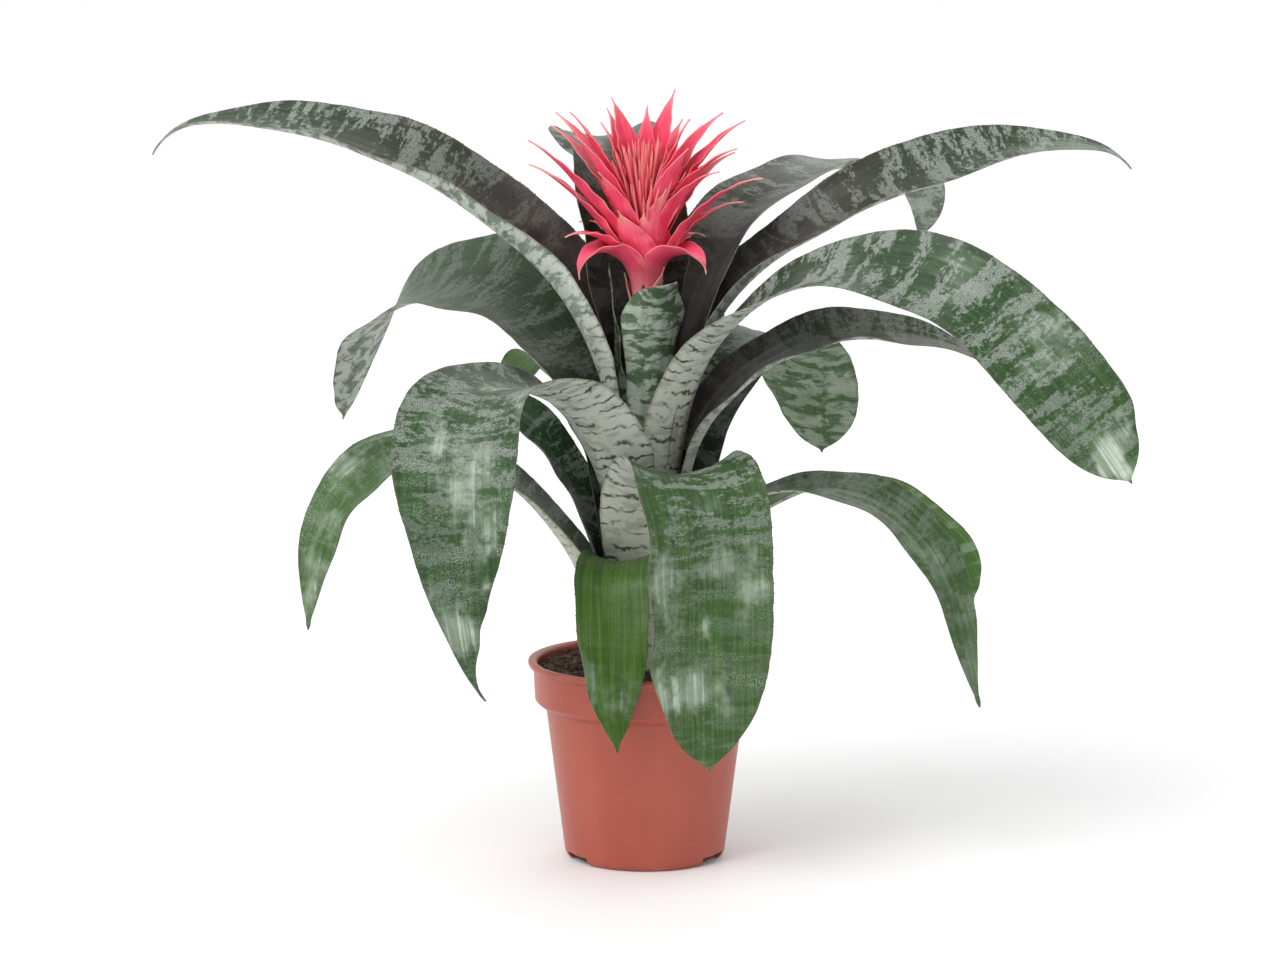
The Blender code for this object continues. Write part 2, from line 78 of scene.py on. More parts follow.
# ---- how finely and how fully it is drawn
SHEATH_WRAP = 150             # the drawn sheaths clasp further round than the solids, layer inside layer
LEAF_ROW_PITCH = 0.0024       # between rows of points along a leaf
LEAF_COLUMNS = 31             # points across a leaf
LEAF_NECK = 0.33              # share of the length where the blade reaches its full width
SPINE_SIZE = 0.00085
BRACT_ROW_PITCH = 0.0014
BRACT_COLUMNS = 17
FLORETS = 150
GOLDEN_ANGLE = 137.5
POT_STEPS = 144
POT_EDGE = 0.0011             # rounding of the pot's corners
SOIL_FILL = 0.004             # how much higher than its solid the drawn soil lies at the wall
SOIL_RINGS = 46
SOIL_STEPS = 150
CRUMBS = 900
FIBRES = 1300

# ---- light and camera
WORLD_STRENGTH = 0.92
SUN_STRENGTH = 1.2
KEY_POWER = 12
BACK_POWER = 7
SENSOR_WIDTH = 36.0           # millimetres, as is the lens
CAMERA_LENS = 123.014
CAMERA_PLACE = (-0.003, -2.2, 0.55)
CAMERA_AIM = (-0.003, 0.0, 0.1958)

# ---- tables shared with the CAD
# Every list is read at even steps from the leaf's base to its tip, in degrees:
# pitch above the horizontal, turn of the heading, roll about the midrib, extra cup of the blade.
Leaf = namedtuple("Leaf", "name layer azimuth length width pitch turn roll cup tip colour")

LEAVES = [Leaf(*row) for row in (
    ("leaf_01_left_low", 0, 178, 0.281, 0.045, (88, 76, 57, 44, 18, -19, -54, -78, -79), (0, 0, 10, 24),
     (0, 0, -20, -32), (0, 0, 20, 15), (0.55, 1.9, 0.9), "leaf_green"),
    ("leaf_02_right_low", 0, 9, 0.243, 0.042, (88, 82, 60, 33, 14, -8, -38, -60, -70), (0,),
     (0, 0, -15, -30), (0, 0, 15, 15), (0.8, 2.6, 0.7), "leaf_green"),
    ("leaf_03_front_low", 1, -111, 0.18, 0.038, (88, 85, 70, -5, -68, -84, -85, -80), (0, 4, 30, 60),
     (0,), (0, 0, 15, 15), (0.6, 2.4, 0.8), "leaf_green"),
    ("leaf_04_back_low", 1, 82, 0.2, 0.04, (88, 84, 58, 8, -45, -75, -85), (0,), (0,), (0, 0, 10, 10),
     (0.55, 2.2, 0.9), "leaf_green"),
    ("leaf_05_right_droop", 2, -16, 0.292, 0.038, (88, 82, 57, 22, -4, -34, -63, -78, -73), (0,),
     (0, 0, 25, 35), (0, 0, 15, 15), (0.55, 2.0, 0.9), "leaf_green"),
    ("leaf_06_left_hidden", 2, 162, 0.2, 0.034, (88, 87, 78, 70, 62, 48, 20, -22, -43), (0,),
     (0, 0, -15, -20), (0, 0, 30, 20), (0.6, 2.2, 0.9), "leaf_grey"),
    ("leaf_07_front_wide", 3, -70, 0.289, 0.069, (88, 83, 72, 10, -75, -88, -88, -88), (0, 0, 6), (0,),
     (0,), (0.72, 2.6, 0.7), "leaf_green"),
    ("leaf_08_back_right", 3, 46, 0.3, 0.058, (88, 86, 75, 66, 48, 12, -38, -58, -65), (0, 0, 10, 25),
     (0,), (0, 0, 15, 10), (0.78, 2.6, 0.6), "leaf_grey"),
    ("leaf_09_back_left", 4, 127, 0.224, 0.038, (88, 88, 80, 74, 63, 48, 20, -30, -76), (0,), (0,),
     (0, 0, 15, 10), (0.78, 2.6, 0.7), "leaf_green"),
    ("leaf_10_right_mid", 4, 8, 0.29, 0.042, (88, 88, 86, 73, 46, 25, 5, -12, -30), (0,),
     (0, 0, 15, 25), (0, 0, 35, 25), (0.6, 2.2, 0.9), "leaf_grey"),
    ("leaf_11_left_arch", 5, -143, 0.364, 0.072, (88, 87, 77, 44, 4, -48, -80, -78, -68),
     (0, -4, 8, 60, 110), (0,), (0, 0, 20, 5), (0.5, 1.9, 1.0), "leaf_green"),
    ("leaf_12_back_mid", 5, 80, 0.33, 0.042, (88, 88, 83, 60, 28, -15, -60, -78), (0,), (0,),
     (0, 0, 15, 10), (0.7, 2.4, 0.7), "leaf_grey"),
    ("leaf_13_left_twist", 6, 143, 0.372, 0.062, (88, 88, 84, 62, 34, 4, -23, -58, -72), (0,),
     (0, 0, -24, -24, -10), (0, 0, 15, 10), (0.75, 2.4, 0.7), "leaf_grey"),
    ("leaf_14_right_wide", 6, -28, 0.446, 0.054, (88, 88, 82, 53, 25, -2, -33, -47, -54), (0,),
     (0, 0, 8, 30, 42, 48), (0, 0, 20, 5), (0.87, 2.6, 0.7), "leaf_green"),
    ("leaf_15_left_long", 7, 168, 0.442, 0.066, (88, 88, 85, 65, 43, 31, 16, 2, -24), (0,),
     (0, 0, -8, -13, -8), (0, 0, 70, 75, 50, 20), (0.66, 1.7, 0.9), "leaf_grey"),
    ("leaf_16_right_long", 7, 14, 0.43, 0.05, (88, 88, 84, 66, 38, 27, 17, 3, -22), (0,),
     (0, 0, 5, 28, 15), (0, 0, 35, 60, 30), (0.66, 1.7, 0.9), "leaf_grey"),
    ("leaf_17_back_right_high", 8, 46, 0.42, 0.052, (88, 88, 85, 72, 50, 22, 0, -14, -50), (0,), (0,),
     (0, 0, 20, 20), (0.75, 2.4, 0.7), "leaf_grey"),
    ("leaf_18_back_upright", 9, 108, 0.325, 0.064, (88, 88, 88, 84, 78, 66, 10, -50), (0,), (0,),
     (0, 0, 20, 10), (0.8, 2.4, 0.7), "leaf_grey"),
    ("leaf_19_inner_left", 10, 178, 0.2, 0.022, (88, 88, 86, 84), (0,), (0,), (0,), (0.6, 2.2, 0.9),
     "leaf_grey"),
    ("leaf_20_inner_front", 10, -64, 0.2, 0.048, (88, 88, 88, 86, 76), (0,), (0,), (0, 10),
     (0.7, 2.8, 0.7), "leaf_grey"),
)]


# ---- node helpers
class Nodes:
    """Short calls for building one material's node tree."""

    def __init__(self, name):
        self.material = bpy.data.materials.new(name)
        self.material.use_nodes = True
        self.tree = self.material.node_tree
        self.shader = self.tree.nodes["Principled BSDF"]

    def put(self, socket, value):
        if isinstance(value, bpy.types.NodeSocket):
            self.tree.links.new(value, socket)
        elif isinstance(value, (tuple, list)) and len(value) == 3 and socket.type == "RGBA":
            socket.default_value = (*value, 1.0)
        else:
            socket.default_value = value

    def new(self, kind, inputs=(), **settings):
        node = self.tree.nodes.new("ShaderNode" + kind)
        for key, value in settings.items():
            setattr(node, key, value)
        for key, value in dict(inputs).items():
            self.put(node.inputs[key], value)
        return node

    def place(self):
        """The object's own coordinates, in metres."""
        return self.new("TexCoord").outputs["Object"]

    def math(self, operation, a, b=0.0):
        return self.new("Math", {0: a, 1: b}, operation=operation).outputs[0]

    def mul(self, *values):
        result = values[0]
        for value in values[1:]:
            result = self.math("MULTIPLY", result, value)
        return result

    def add(self, a, b):
        return self.math("ADD", a, b)

    def mix(self, factor, a, b):
        node = self.new("Mix", data_type="RGBA")
        self.put(node.inputs[0], factor)
        self.put(node.inputs[6], a)
        self.put(node.inputs[7], b)
        return node.outputs[2]

    def blend(self, value, low, high, a, b):
        """Colour a up to the low value and colour b from the high one."""
        return self.mix(self.ramp(value, low, high), a, b)

    def ramp(self, value, low, high, start=0.0, end=1.0):
        """Smooth step of a value from low to high."""
        node = self.new("MapRange", {"Value": value, "From Min": low, "From Max": high,
                                     "To Min": start, "To Max": end}, interpolation_type="SMOOTHSTEP")
        return node.outputs[0]

    def noise(self, vector, scale, detail=3.0, roughness=0.5, distortion=0.0):
        """Noise at one frequency, or at one for each axis."""
        each = scale if isinstance(scale, tuple) else (scale, scale, scale)
        place = self.new("Mapping", {"Vector": vector, "Scale": each}).outputs[0]
        return self.new("TexNoise", {"Vector": place, "Scale": 1.0, "Detail": detail,
                                     "Roughness": roughness, "Distortion": distortion}).outputs[0]

    def surface(self, colour, roughness, height=None, distance=0.0002, strength=0.5):
        self.put(self.shader.inputs["Base Color"], colour)
        self.put(self.shader.inputs["Roughness"], roughness)
        if height is not None:
            bump = self.new("Bump", {"Height": height, "Distance": distance, "Strength": strength})
            self.put(self.shader.inputs["Normal"], bump.outputs[0])
        return self.material


# ---- leaf skins
def leaf_inputs(n):
    uv = n.new("UVMap", uv_map="skin").outputs[0]
    look = n.new("Attribute", attribute_name="look")
    split = n.new("SeparateColor", {0: look.outputs["Color"]})
    rim = n.new("Attribute", attribute_name="rim").outputs["Fac"]
    return uv, split.outputs[0], split.outputs[1], split.outputs[2], look.outputs["Alpha"], rim


def leaf_upper_skin():
    """Inner face: green with grey scales in cross bands and a white bloom; it turns dull dark towards the
    base and on the inner leaves, which is painted shade of the vase's hollow.
    """
    n = Nodes("leaf_upper_skin")
    uv, dark, silver, bloom, fresh, rim = leaf_inputs(n)
    streak = n.noise(uv, (620, 16, 1))
    broad = n.noise(uv, (60, 45, 1), detail=2)
    green = n.blend(streak, 0.35, 0.7, (0.013, 0.034, 0.014), (0.028, 0.074, 0.026))
    green = n.mix(n.mul(n.ramp(broad, 0.4, 0.7), 0.5), green, (0.018, 0.058, 0.014))
    lively = n.blend(streak, 0.35, 0.7, (0.036, 0.094, 0.01), (0.078, 0.16, 0.02))
    base = n.mix(fresh, green, lively)
    # Painted shade: a dull dark colour mixed in by the dark channel of the look, where the blade lies deep in
    # the vase.
    painted_shade_colour = n.blend(broad, 0.35, 0.7, (0.034, 0.023, 0.024), (0.062, 0.044, 0.043))
    base = n.mix(dark, base, painted_shade_colour)
    bands = n.ramp(n.noise(uv, (30, 105, 1), detail=4, roughness=0.65, distortion=0.5), 0.38, 0.62)
    cells = n.noise(uv, (330, 400, 1), detail=5, roughness=0.68, distortion=0.3)
    scales = n.ramp(n.add(cells, n.mul(n.math("SUBTRACT", bands, 0.5), 0.3)), 0.45, 0.62)
    fine = n.noise(uv, 1300, detail=2)
    silver_fac = n.mul(scales, silver, n.ramp(fine, 0.2, 0.6, 0.55, 1.0))
    grey = n.blend(fine, 0.3, 0.7, (0.165, 0.19, 0.168), (0.31, 0.345, 0.305))
    colour = n.mix(silver_fac, base, grey)
    grains = n.mul(n.ramp(fine, 0.46, 0.6), n.ramp(n.noise(uv, (26, 120, 1)), 0.44, 0.62))
    long_streak = n.ramp(n.noise(uv, (330, 10, 1)), 0.42, 0.72)
    patch = n.ramp(n.noise(uv, (30, 24, 1), detail=4, roughness=0.6), 0.49, 0.66)
    streaked = n.mul(n.ramp(long_streak, 0, 1, 0.4, 1.0), patch)
    bloom_fac = n.mul(bloom, n.math("MAXIMUM", n.mul(grains, 0.24), streaked))
    colour = n.mix(bloom_fac, colour, (0.5, 0.59, 0.48))
    colour = n.mix(n.mul(rim, 0.45), colour, (0.08, 0.08, 0.05))
    rough = n.math("MULTIPLY_ADD", n.math("MAXIMUM", silver_fac, bloom_fac), 0.25)
    rough.node.inputs[2].default_value = 0.36
    height = n.add(n.mul(n.noise(uv, (1500, 12, 1), detail=2), 0.7), n.mul(silver_fac, 0.35))
    n.shader.inputs["Specular IOR Level"].default_value = 0.26
    return n.surface(colour, rough, height, distance=0.00035, strength=0.55)


def leaf_under_skin():
    """Outer face: silver crossed by broken dark lines, cream at the sheath, blotched further out."""
    n = Nodes("leaf_under_skin")
    uv, cream, lines, blotch, fresh, rim = leaf_inputs(n)
    fine = n.noise(uv, 900)
    broad = n.noise(uv, (70, 60, 1), detail=2)
    pale = n.blend(fine, 0.3, 0.7, (0.4, 0.44, 0.39), (0.54, 0.58, 0.52))
    pale = n.mix(n.mul(n.ramp(broad, 0.4, 0.65), 0.45), pale, (0.3, 0.335, 0.3))
    sheath = n.blend(broad, 0.35, 0.7, (0.52, 0.51, 0.4), (0.62, 0.62, 0.53))
    base = n.mix(cream, pale, sheath)
    warp = n.noise(uv, (34, 46, 1), detail=4, roughness=0.62)
    along = n.new("SeparateXYZ", {0: uv}).outputs[1]
    wave = n.math("PINGPONG", n.add(n.mul(along, 150.0), n.mul(warp, 3.4)), 0.5)
    line = n.ramp(n.add(wave, n.mul(n.noise(uv, 420), 0.24)), 0.15, 0.3, 1.0, 0.0)
    broken = n.ramp(n.noise(uv, (55, 90, 1), roughness=0.6), 0.42, 0.56)
    ink = n.blend(broad, 0.3, 0.7, (0.04, 0.052, 0.04), (0.08, 0.105, 0.08))
    colour = n.mix(n.mul(line, broken, lines), base, ink)
    spots = n.add(n.noise(uv, (75, 150, 1), detail=4, roughness=0.6, distortion=0.4), n.mul(fine, 0.16))
    blotch_fac = n.mul(blotch, n.ramp(n.add(spots, n.mul(blotch, 0.07)), 0.615, 0.7))
    green = n.blend(fine, 0.3, 0.7, (0.045, 0.08, 0.046), (0.09, 0.13, 0.085))
    colour = n.mix(blotch_fac, colour, green)
    streak = n.noise(uv, (620, 16, 1))
    lively = n.blend(streak, 0.35, 0.7, (0.05, 0.13, 0.022), (0.105, 0.205, 0.055))
    banded = n.mul(n.ramp(n.noise(uv, (18, 130, 1)), 0.5, 0.62), 0.55)
    lively = n.mix(banded, lively, (0.28, 0.38, 0.26))
    colour = n.mix(fresh, colour, lively)
    colour = n.mix(n.mul(rim, 0.5), colour, (0.1, 0.085, 0.05))
    height = n.add(n.mul(n.noise(uv, (1500, 12, 1), detail=2), 0.6), n.mul(fine, 0.4))
    rough = n.ramp(fine, 0.2, 0.8, 0.5, 0.64)
    n.shader.inputs["Specular IOR Level"].default_value = 0.22
    return n.surface(colour, rough, height, distance=0.0003, strength=0.5)


def spine_skin():
    n = Nodes("leaf_spine_skin")
    grain = n.noise(n.place(), 900, detail=2)
    colour = n.blend(grain, 0.35, 0.65, (0.06, 0.04, 0.022), (0.15, 0.105, 0.055))
    return n.surface(colour, 0.45, grain, distance=0.0001)


# ---- flower skins
def bract_skin():
    """Pink, redder at the foot and inside, with pale veins, and cream to green at a dying tip."""
    n = Nodes("bract_skin")
    uv, deep, pale, tip, light, rim = leaf_inputs(n)
    vein = n.noise(uv, (1500, 22, 1))
    cloud = n.noise(uv, (150, 90, 1))
    pink = n.blend(vein, 0.36, 0.66, (0.74, 0.03, 0.11), (0.82, 0.066, 0.155))
    pink = n.mix(n.mul(n.ramp(cloud, 0.4, 0.7), 0.55), pink, (0.84, 0.12, 0.205))
    colour = n.mix(n.mul(deep, 0.8), pink, (0.62, 0.01, 0.045))
    colour = n.mix(n.mul(light, n.ramp(vein, 0.3, 0.7, 0.4, 1.0)), colour, (0.84, 0.17, 0.175))
    colour = n.mix(n.mul(pale, 0.85), colour, (0.86, 0.56, 0.43))
    colour = n.mix(n.mul(tip, n.ramp(cloud, 0.3, 0.6, 0.6, 1.0)), colour, (0.66, 0.64, 0.3))
    colour = n.mix(n.mul(rim, 0.35), colour, (0.9, 0.47, 0.42))
    height = n.add(n.mul(vein, 0.8), n.mul(n.noise(uv, (500, 120, 1), detail=2), 0.4))
    material = n.surface(colour, n.ramp(cloud, 0.2, 0.8, 0.38, 0.5), height, distance=0.0003, strength=0.45)
    n.shader.inputs["Specular IOR Level"].default_value = 0.3
    n.shader.inputs["Subsurface Weight"].default_value = 0.1
    n.shader.inputs["Subsurface Radius"].default_value = (0.004, 0.0012, 0.001)
    n.shader.inputs["Subsurface Scale"].default_value = 0.5
    return material


def stalk_skin():
    n = Nodes("stalk_skin")
    place = n.place()
    vein = n.noise(place, (700, 700, 60))
    felt = n.noise(place, 1600, detail=2)
    height_up = n.new("SeparateXYZ", {0: place}).outputs[2]
    pink = n.blend(vein, 0.35, 0.65, (0.62, 0.18, 0.15), (0.76, 0.33, 0.25))
    cream = n.blend(vein, 0.35, 0.65, (0.62, 0.52, 0.33), (0.76, 0.66, 0.47))
    colour = n.blend(height_up, 0.262, 0.292, cream, pink)
    return n.surface(colour, n.ramp(felt, 0.3, 0.7, 0.5, 0.7), n.add(vein, n.mul(felt, 0.5)), distance=0.0003)


# ---- pot, soil and stem skins
def pot_skin():
    """Moulded polypropylene: even terracotta colour with faint flow clouds, a fine grain, scuffs and dust."""
    n = Nodes("terracotta_plastic_skin")
    place = n.place()
    cloud = n.noise(place, (24, 24, 13))
    colour = n.blend(cloud, 0.32, 0.68, (0.335, 0.058, 0.034), (0.385, 0.076, 0.046))
    height_up = n.new("SeparateXYZ", {0: place}).outputs[2]
    scuff = n.ramp(n.noise(place, (45, 45, 900), distortion=0.8), 0.6, 0.74)
    near_edges = n.math("MAXIMUM", n.ramp(height_up, 0.01, 0.0, 0.0, 1.0),
                        n.ramp(height_up, 0.0985, 0.1025, 0.0, 1.0))
    colour = n.mix(n.mul(scuff, n.ramp(near_edges, 0.0, 1.0, 0.1, 0.5)), colour, (0.64, 0.29, 0.22))
    speck = n.ramp(n.noise(place, 950, detail=2), 0.66, 0.74)
    colour = n.mix(n.mul(speck, 0.35), colour, (0.3, 0.055, 0.035))
    inside = n.ramp(n.noise(place, 260), 0.5, 0.66)
    colour = n.mix(n.mul(inside, n.ramp(height_up, 0.0955, 0.1012, 0.0, 0.22)), colour, (0.11, 0.06, 0.04))
    grain = n.noise(place, 2300, detail=2)
    rings = n.noise(place, (12, 12, 520), detail=2)
    height = n.add(n.mul(grain, 0.45), n.add(n.mul(rings, 0.25), n.mul(cloud, 0.8)))
    rough = n.add(n.ramp(cloud, 0.3, 0.7, 0.34, 0.42), n.mul(scuff, 0.15))
    return n.surface(colour, rough, height, distance=0.00018, strength=0.4)


def soil_skin():
    n = Nodes("potting_soil_skin")
    place = n.place()
    lump = n.noise(place, 260, detail=4, roughness=0.65)
    grain = n.noise(place, 1400, roughness=0.7)
    colour = n.blend(lump, 0.35, 0.68, (0.018, 0.01, 0.007), (0.072, 0.04, 0.027))
    colour = n.blend(grain, 0.52, 0.72, colour, (0.15, 0.088, 0.055))
    speck = n.ramp(n.noise(place, 620, detail=1), 0.7, 0.76)
    colour = n.mix(n.mul(speck, 0.6), colour, (0.33, 0.26, 0.19))
    return n.surface(colour, 0.92, n.add(lump, n.mul(grain, 0.7)), distance=0.0012, strength=0.9)


def fibre_skin():
    n = Nodes("peat_fibre_skin")
    place = n.place()
    grain = n.noise(place, 800)
    shade = n.noise(place, 130, detail=2)
    colour = n.blend(shade, 0.35, 0.65, (0.045, 0.024, 0.015), (0.19, 0.112, 0.07))
    colour = n.mix(n.ramp(grain, 0.5, 0.75, 0.0, 0.6), colour, (0.25, 0.17, 0.11))
    return n.surface(colour, 0.85, grain, distance=0.0004)


def crown_skin():
    n = Nodes("stem_pale_skin")
    place = n.place()
    rings = n.noise(place, (60, 60, 900))
    blot = n.noise(place, 240)
    colour = n.blend(blot, 0.35, 0.65, (0.38, 0.36, 0.23), (0.54, 0.52, 0.37))
    colour = n.mix(n.ramp(rings, 0.55, 0.7, 0.0, 0.7), colour, (0.13, 0.08, 0.045))
    return n.surface(colour, 0.65, n.add(rings, n.mul(blot, 0.5)), distance=0.0005)


def floor_skin():
    n = Nodes("studio_floor")
    place = n.place()
    cloud = n.noise(place, 3, detail=2)
    colour = n.blend(cloud, 0.3, 0.7, (0.86, 0.86, 0.86), (0.88, 0.88, 0.88))
    return n.surface(colour, 0.6)


# ---- object helpers
def linked(name, data):
    thing = bpy.data.objects.new(name, data)
    bpy.context.scene.collection.objects.link(thing)
    return thing


def point(thing, direction):
    """Turns a lamp or the camera to look along a direction."""
    thing.rotation_euler = Vector(direction).to_track_quat("-Z", "Y").to_euler()


def add_piece(name, verts, faces, materials, replaced=(), indices=None, smooth=True):
    """One mesh piece that rides on the part's body and stands for the CAD nodes given."""
    mesh = bpy.data.meshes.new(name)
    mesh.from_pydata([tuple(v) for v in verts], [], faces)
    for each in materials:
        mesh.materials.append(each)
    if indices is not None:
        mesh.polygons.foreach_set("material_index", indices)
    mesh.polygons.foreach_set("use_smooth", [smooth] * len(mesh.polygons))
    mesh.update()
    piece = linked(name, mesh)
    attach(piece, "root")
    if replaced:
        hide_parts(*replaced)
    return piece


class Builder:
    """Collects several solids into one mesh, with skin coordinates, looks and rims per point."""

    def __init__(self):
        self.verts, self.faces, self.indices = [], [], []
        self.skin, self.look, self.rim = [], [], []

    def points(self, verts, skin, look, rim):
        start = len(self.verts)
        self.verts.extend(map(tuple, verts))
        self.skin.extend(map(tuple, skin))
        self.look.extend(map(tuple, look))
        self.rim.extend(rim)
        return start

    def face(self, corners, index):
        self.faces.append(tuple(corners))
        self.indices.append(index)

    def finish(self, name, materials, replaced, slot):
        piece = add_piece(name, self.verts, self.faces, materials, replaced, self.indices)
        mesh = piece.data
        corner = np.empty(len(mesh.loops), np.int32)
        mesh.loops.foreach_get("vertex_index", corner)
        layer = mesh.uv_layers.new(name="skin")
        layer.data.foreach_set("uv", np.asarray(self.skin, np.float32)[corner].ravel())
        look = mesh.attributes.new("look", "FLOAT_COLOR", "POINT")
        look.data.foreach_set("color", np.asarray(self.look, np.float32).ravel())
        rim = mesh.attributes.new("rim", "FLOAT", "POINT")
        rim.data.foreach_set("value", np.asarray(self.rim, np.float32))
        return piece


# ---- ribbons
def spline(values, share):
    """Smooth curve through evenly spaced values, read at shares from 0 to 1 (Catmull-Rom)."""
    values = np.asarray(values, float)
    if len(values) == 1:
        return np.full_like(share, values[0])
    padded = np.concatenate([[2 * values[0] - values[1]], values, [2 * values[-1] - values[-2]]])
    place = np.clip(share, 0, 1) * (len(values) - 1)
    left = np.minimum(place.astype(int), len(values) - 2)
    x = place - left
    a, b, c, d = (padded[left + k] for k in range(4))
    return b + 0.5 * x * (c - a + x * (2 * a - 5 * b + 4 * c - d + x * (3 * (b - c) + d - a)))


def smoothstep(low, high, value):
    x = np.clip((value - low) / (high - low), 0, 1)
    return x * x * (3 - 2 * x)


OPEN_WRAP = math.radians(80)   # a blade flattens out to this once it has left the sheath
RIB_HEIGHT = 0.00022
POINT_LENGTH = 0.003           # short point at the very end of a leaf or bract
POINT_HALF_WIDTH = 0.0016
LEAF_POINT_SLOPE = 0.55
BRACT_POINT_SLOPE = 0.12
SHORTEST_LEAF = 0.1            # metres; anything shorter is a bract

Ribbon = namedtuple("Ribbon", "start_radius start_height azimuth length base_width width neck "
                              "pitch turn roll cup tip wrap thickness curl")


def centreline(ribbon, steps):
    """Shares, points, sideways and upward directions along a ribbon's middle."""
    share = np.linspace(0, 1, steps + 1)
    curl_start, curl_pitch, curl_turn = ribbon.curl
    curled = np.clip((share - curl_start) / (1 - curl_start), 0, 1) ** 1.5
    pitch = np.radians(spline(ribbon.pitch, share) + curl_pitch * curled)
    heading = np.radians(ribbon.azimuth + spline(ribbon.turn, share) + curl_turn * curled)
    roll = np.radians(spline(ribbon.roll, share))
    flat = np.cos(pitch)
    tangent = np.stack([flat * np.cos(heading), flat * np.sin(heading), np.sin(pitch)], 1)
    side = np.stack([-np.sin(heading), np.cos(heading), 0 * heading], 1)
    up = np.cross(tangent, side)
    turned_side = np.cos(roll)[:, None] * side + np.sin(roll)[:, None] * up
    turned_up = np.cos(roll)[:, None] * up - np.sin(roll)[:, None] * side
    azimuth = math.radians(ribbon.azimuth)
    start = np.array([
        ribbon.start_radius * math.cos(azimuth),
        ribbon.start_radius * math.sin(azimuth),
        ribbon.start_height,
    ])
    middle = (tangent[1:] + tangent[:-1]) / 2 * (ribbon.length / steps)
    points = start + np.concatenate([np.zeros((1, 3)), np.cumsum(middle, 0)])
    return share, points, turned_side, turned_up


def tip_profile(ribbon, share):
    """Share of the full width along the ribbon: rounded off at the end, with a short point."""
    tip_start, tip_power, tip_round = ribbon.tip
    end = 1 - POINT_LENGTH / ribbon.length
    into_tip = np.clip((share - tip_start) / (end - tip_start), 0, 1)
    body = np.maximum(1 - into_tip ** tip_power, 0) ** tip_round
    left = (1 - share) * ribbon.length
    slope = LEAF_POINT_SLOPE if ribbon.length > SHORTEST_LEAF else BRACT_POINT_SLOPE
    end_point = np.minimum(left * slope, POINT_HALF_WIDTH) / (ribbon.width / 2)
    return np.maximum(np.maximum(body, end_point), 0.004)


def columns(across):
    """Places across a ribbon from -1 to 1, crowded at both rims."""
    inner = np.linspace(-0.94, 0.94, across - 5)
    return np.concatenate([[-1, -0.992, -0.975], inner, [0.975, 0.992, 1]])


def ribbon_surface(ribbon, along, u, waves):
    """Grid of points on the ribbon's middle surface, with the width of each row."""
    fine = 4
    share, points, side, up = (a[::fine] for a in centreline(ribbon, along * fine))
    distance = np.maximum(np.hypot(points[:, 0], points[:, 1]), ribbon.start_radius)
    width = ribbon.base_width + (ribbon.width - ribbon.base_width) * smoothstep(0, ribbon.neck, share)
    width = width * tip_profile(ribbon, share)
    wrap = math.radians(ribbon.wrap)
    width = np.minimum(width, wrap * distance)
    open_out = wrap + (min(wrap, OPEN_WRAP) - wrap) * smoothstep(0.12, 0.34, share)
    arc = np.minimum(width / distance, open_out) + np.radians(spline(ribbon.cup, share))
    arc = np.maximum(arc, 0.02)
    radius = width / arc
    reach = u[None, :] * waves.reach(share, u)
    angle = reach * 0.5 * arc[:, None]
    grid = (
        points[:, None, :]
        + side[:, None, :] * (radius[:, None] * np.sin(angle))[..., None]
        + up[:, None, :] * (radius[:, None] * (1 - np.cos(angle)))[..., None]
    )
    lift = waves.lift(share, u, width)
    grid = grid + surface_normals(grid) * lift[..., None]
    return share, width, reach, grid


def surface_normals(grid):
    along = np.gradient(grid, axis=0)
    across = np.gradient(grid, axis=1)
    normal = np.cross(along, across)
    return normal / np.maximum(np.linalg.norm(normal, axis=2, keepdims=True), 1e-12)


class Waves:
    """The small irregularities of one leaf: waved rims, slow buckles, a midrib channel, a nibbled end."""

    def __init__(self, seed, rim=0.0016, buckle=0.0011, channel=0.0007, nibble=0.0, calm=0.3):
        draw = random.Random(seed)
        self.phase = [draw.uniform(0, math.tau) for _ in range(8)]
        self.count = [draw.uniform(4.5, 7.5), draw.uniform(4.5, 7.5), draw.uniform(2.2, 3.4)]
        self.rim, self.buckle, self.channel = rim, buckle, channel
        self.nibble, self.calm = nibble, calm
        self.teeth = np.array([draw.uniform(0, 1) for _ in range(64)])

    def lift(self, share, u, width):
        """Displacement along the surface's normal."""
        free = smoothstep(self.calm, self.calm + 0.25, share)[:, None]
        fade = (width / width.max())[:, None]
        s, x = share[:, None], u[None, :]
        rims = (
            np.clip(-x, 0, 1) ** 2.5 * np.sin(math.tau * self.count[0] * s + self.phase[0])
            + np.clip(x, 0, 1) ** 2.5 * np.sin(math.tau * self.count[1] * s + self.phase[1])
        )
        slow = np.sin(math.tau * self.count[2] * s + self.phase[2] + 1.3 * x)
        slow = slow * np.cos(1.9 * x + self.phase[3])
        ribs = np.cos(x * 19 + 0.8 * np.sin(5 * s + self.phase[4])) * (1 - np.abs(x) ** 4)
        groove = -np.exp(-((x / 0.1) ** 2))
        waved = self.rim * rims + self.buckle * slow + RIB_HEIGHT * ribs
        return free * fade * waved + self.channel * groove * fade

    def reach(self, share, u):
        """Share of the half width that each rim really reaches, less where the end is ragged."""
        result = np.ones((len(share), len(u)))
        wobble = 0.018 * np.sin(math.tau * 9 * share + self.phase[5])
        wobble = wobble + 0.012 * np.sin(math.tau * 23 * share + self.phase[6])
        result *= 1 - np.abs(wobble)[:, None] * np.sign(u)[None, :] * 0.5 - 0.02
        if self.nibble:
            late = smoothstep(0.8, 0.97, share)
            teeth = np.interp(share * 40, np.arange(64), self.teeth)
            result *= 1 - (self.nibble * late * teeth)[:, None] * (0.6 + 0.4 * np.sign(u))[None, :]
        return result


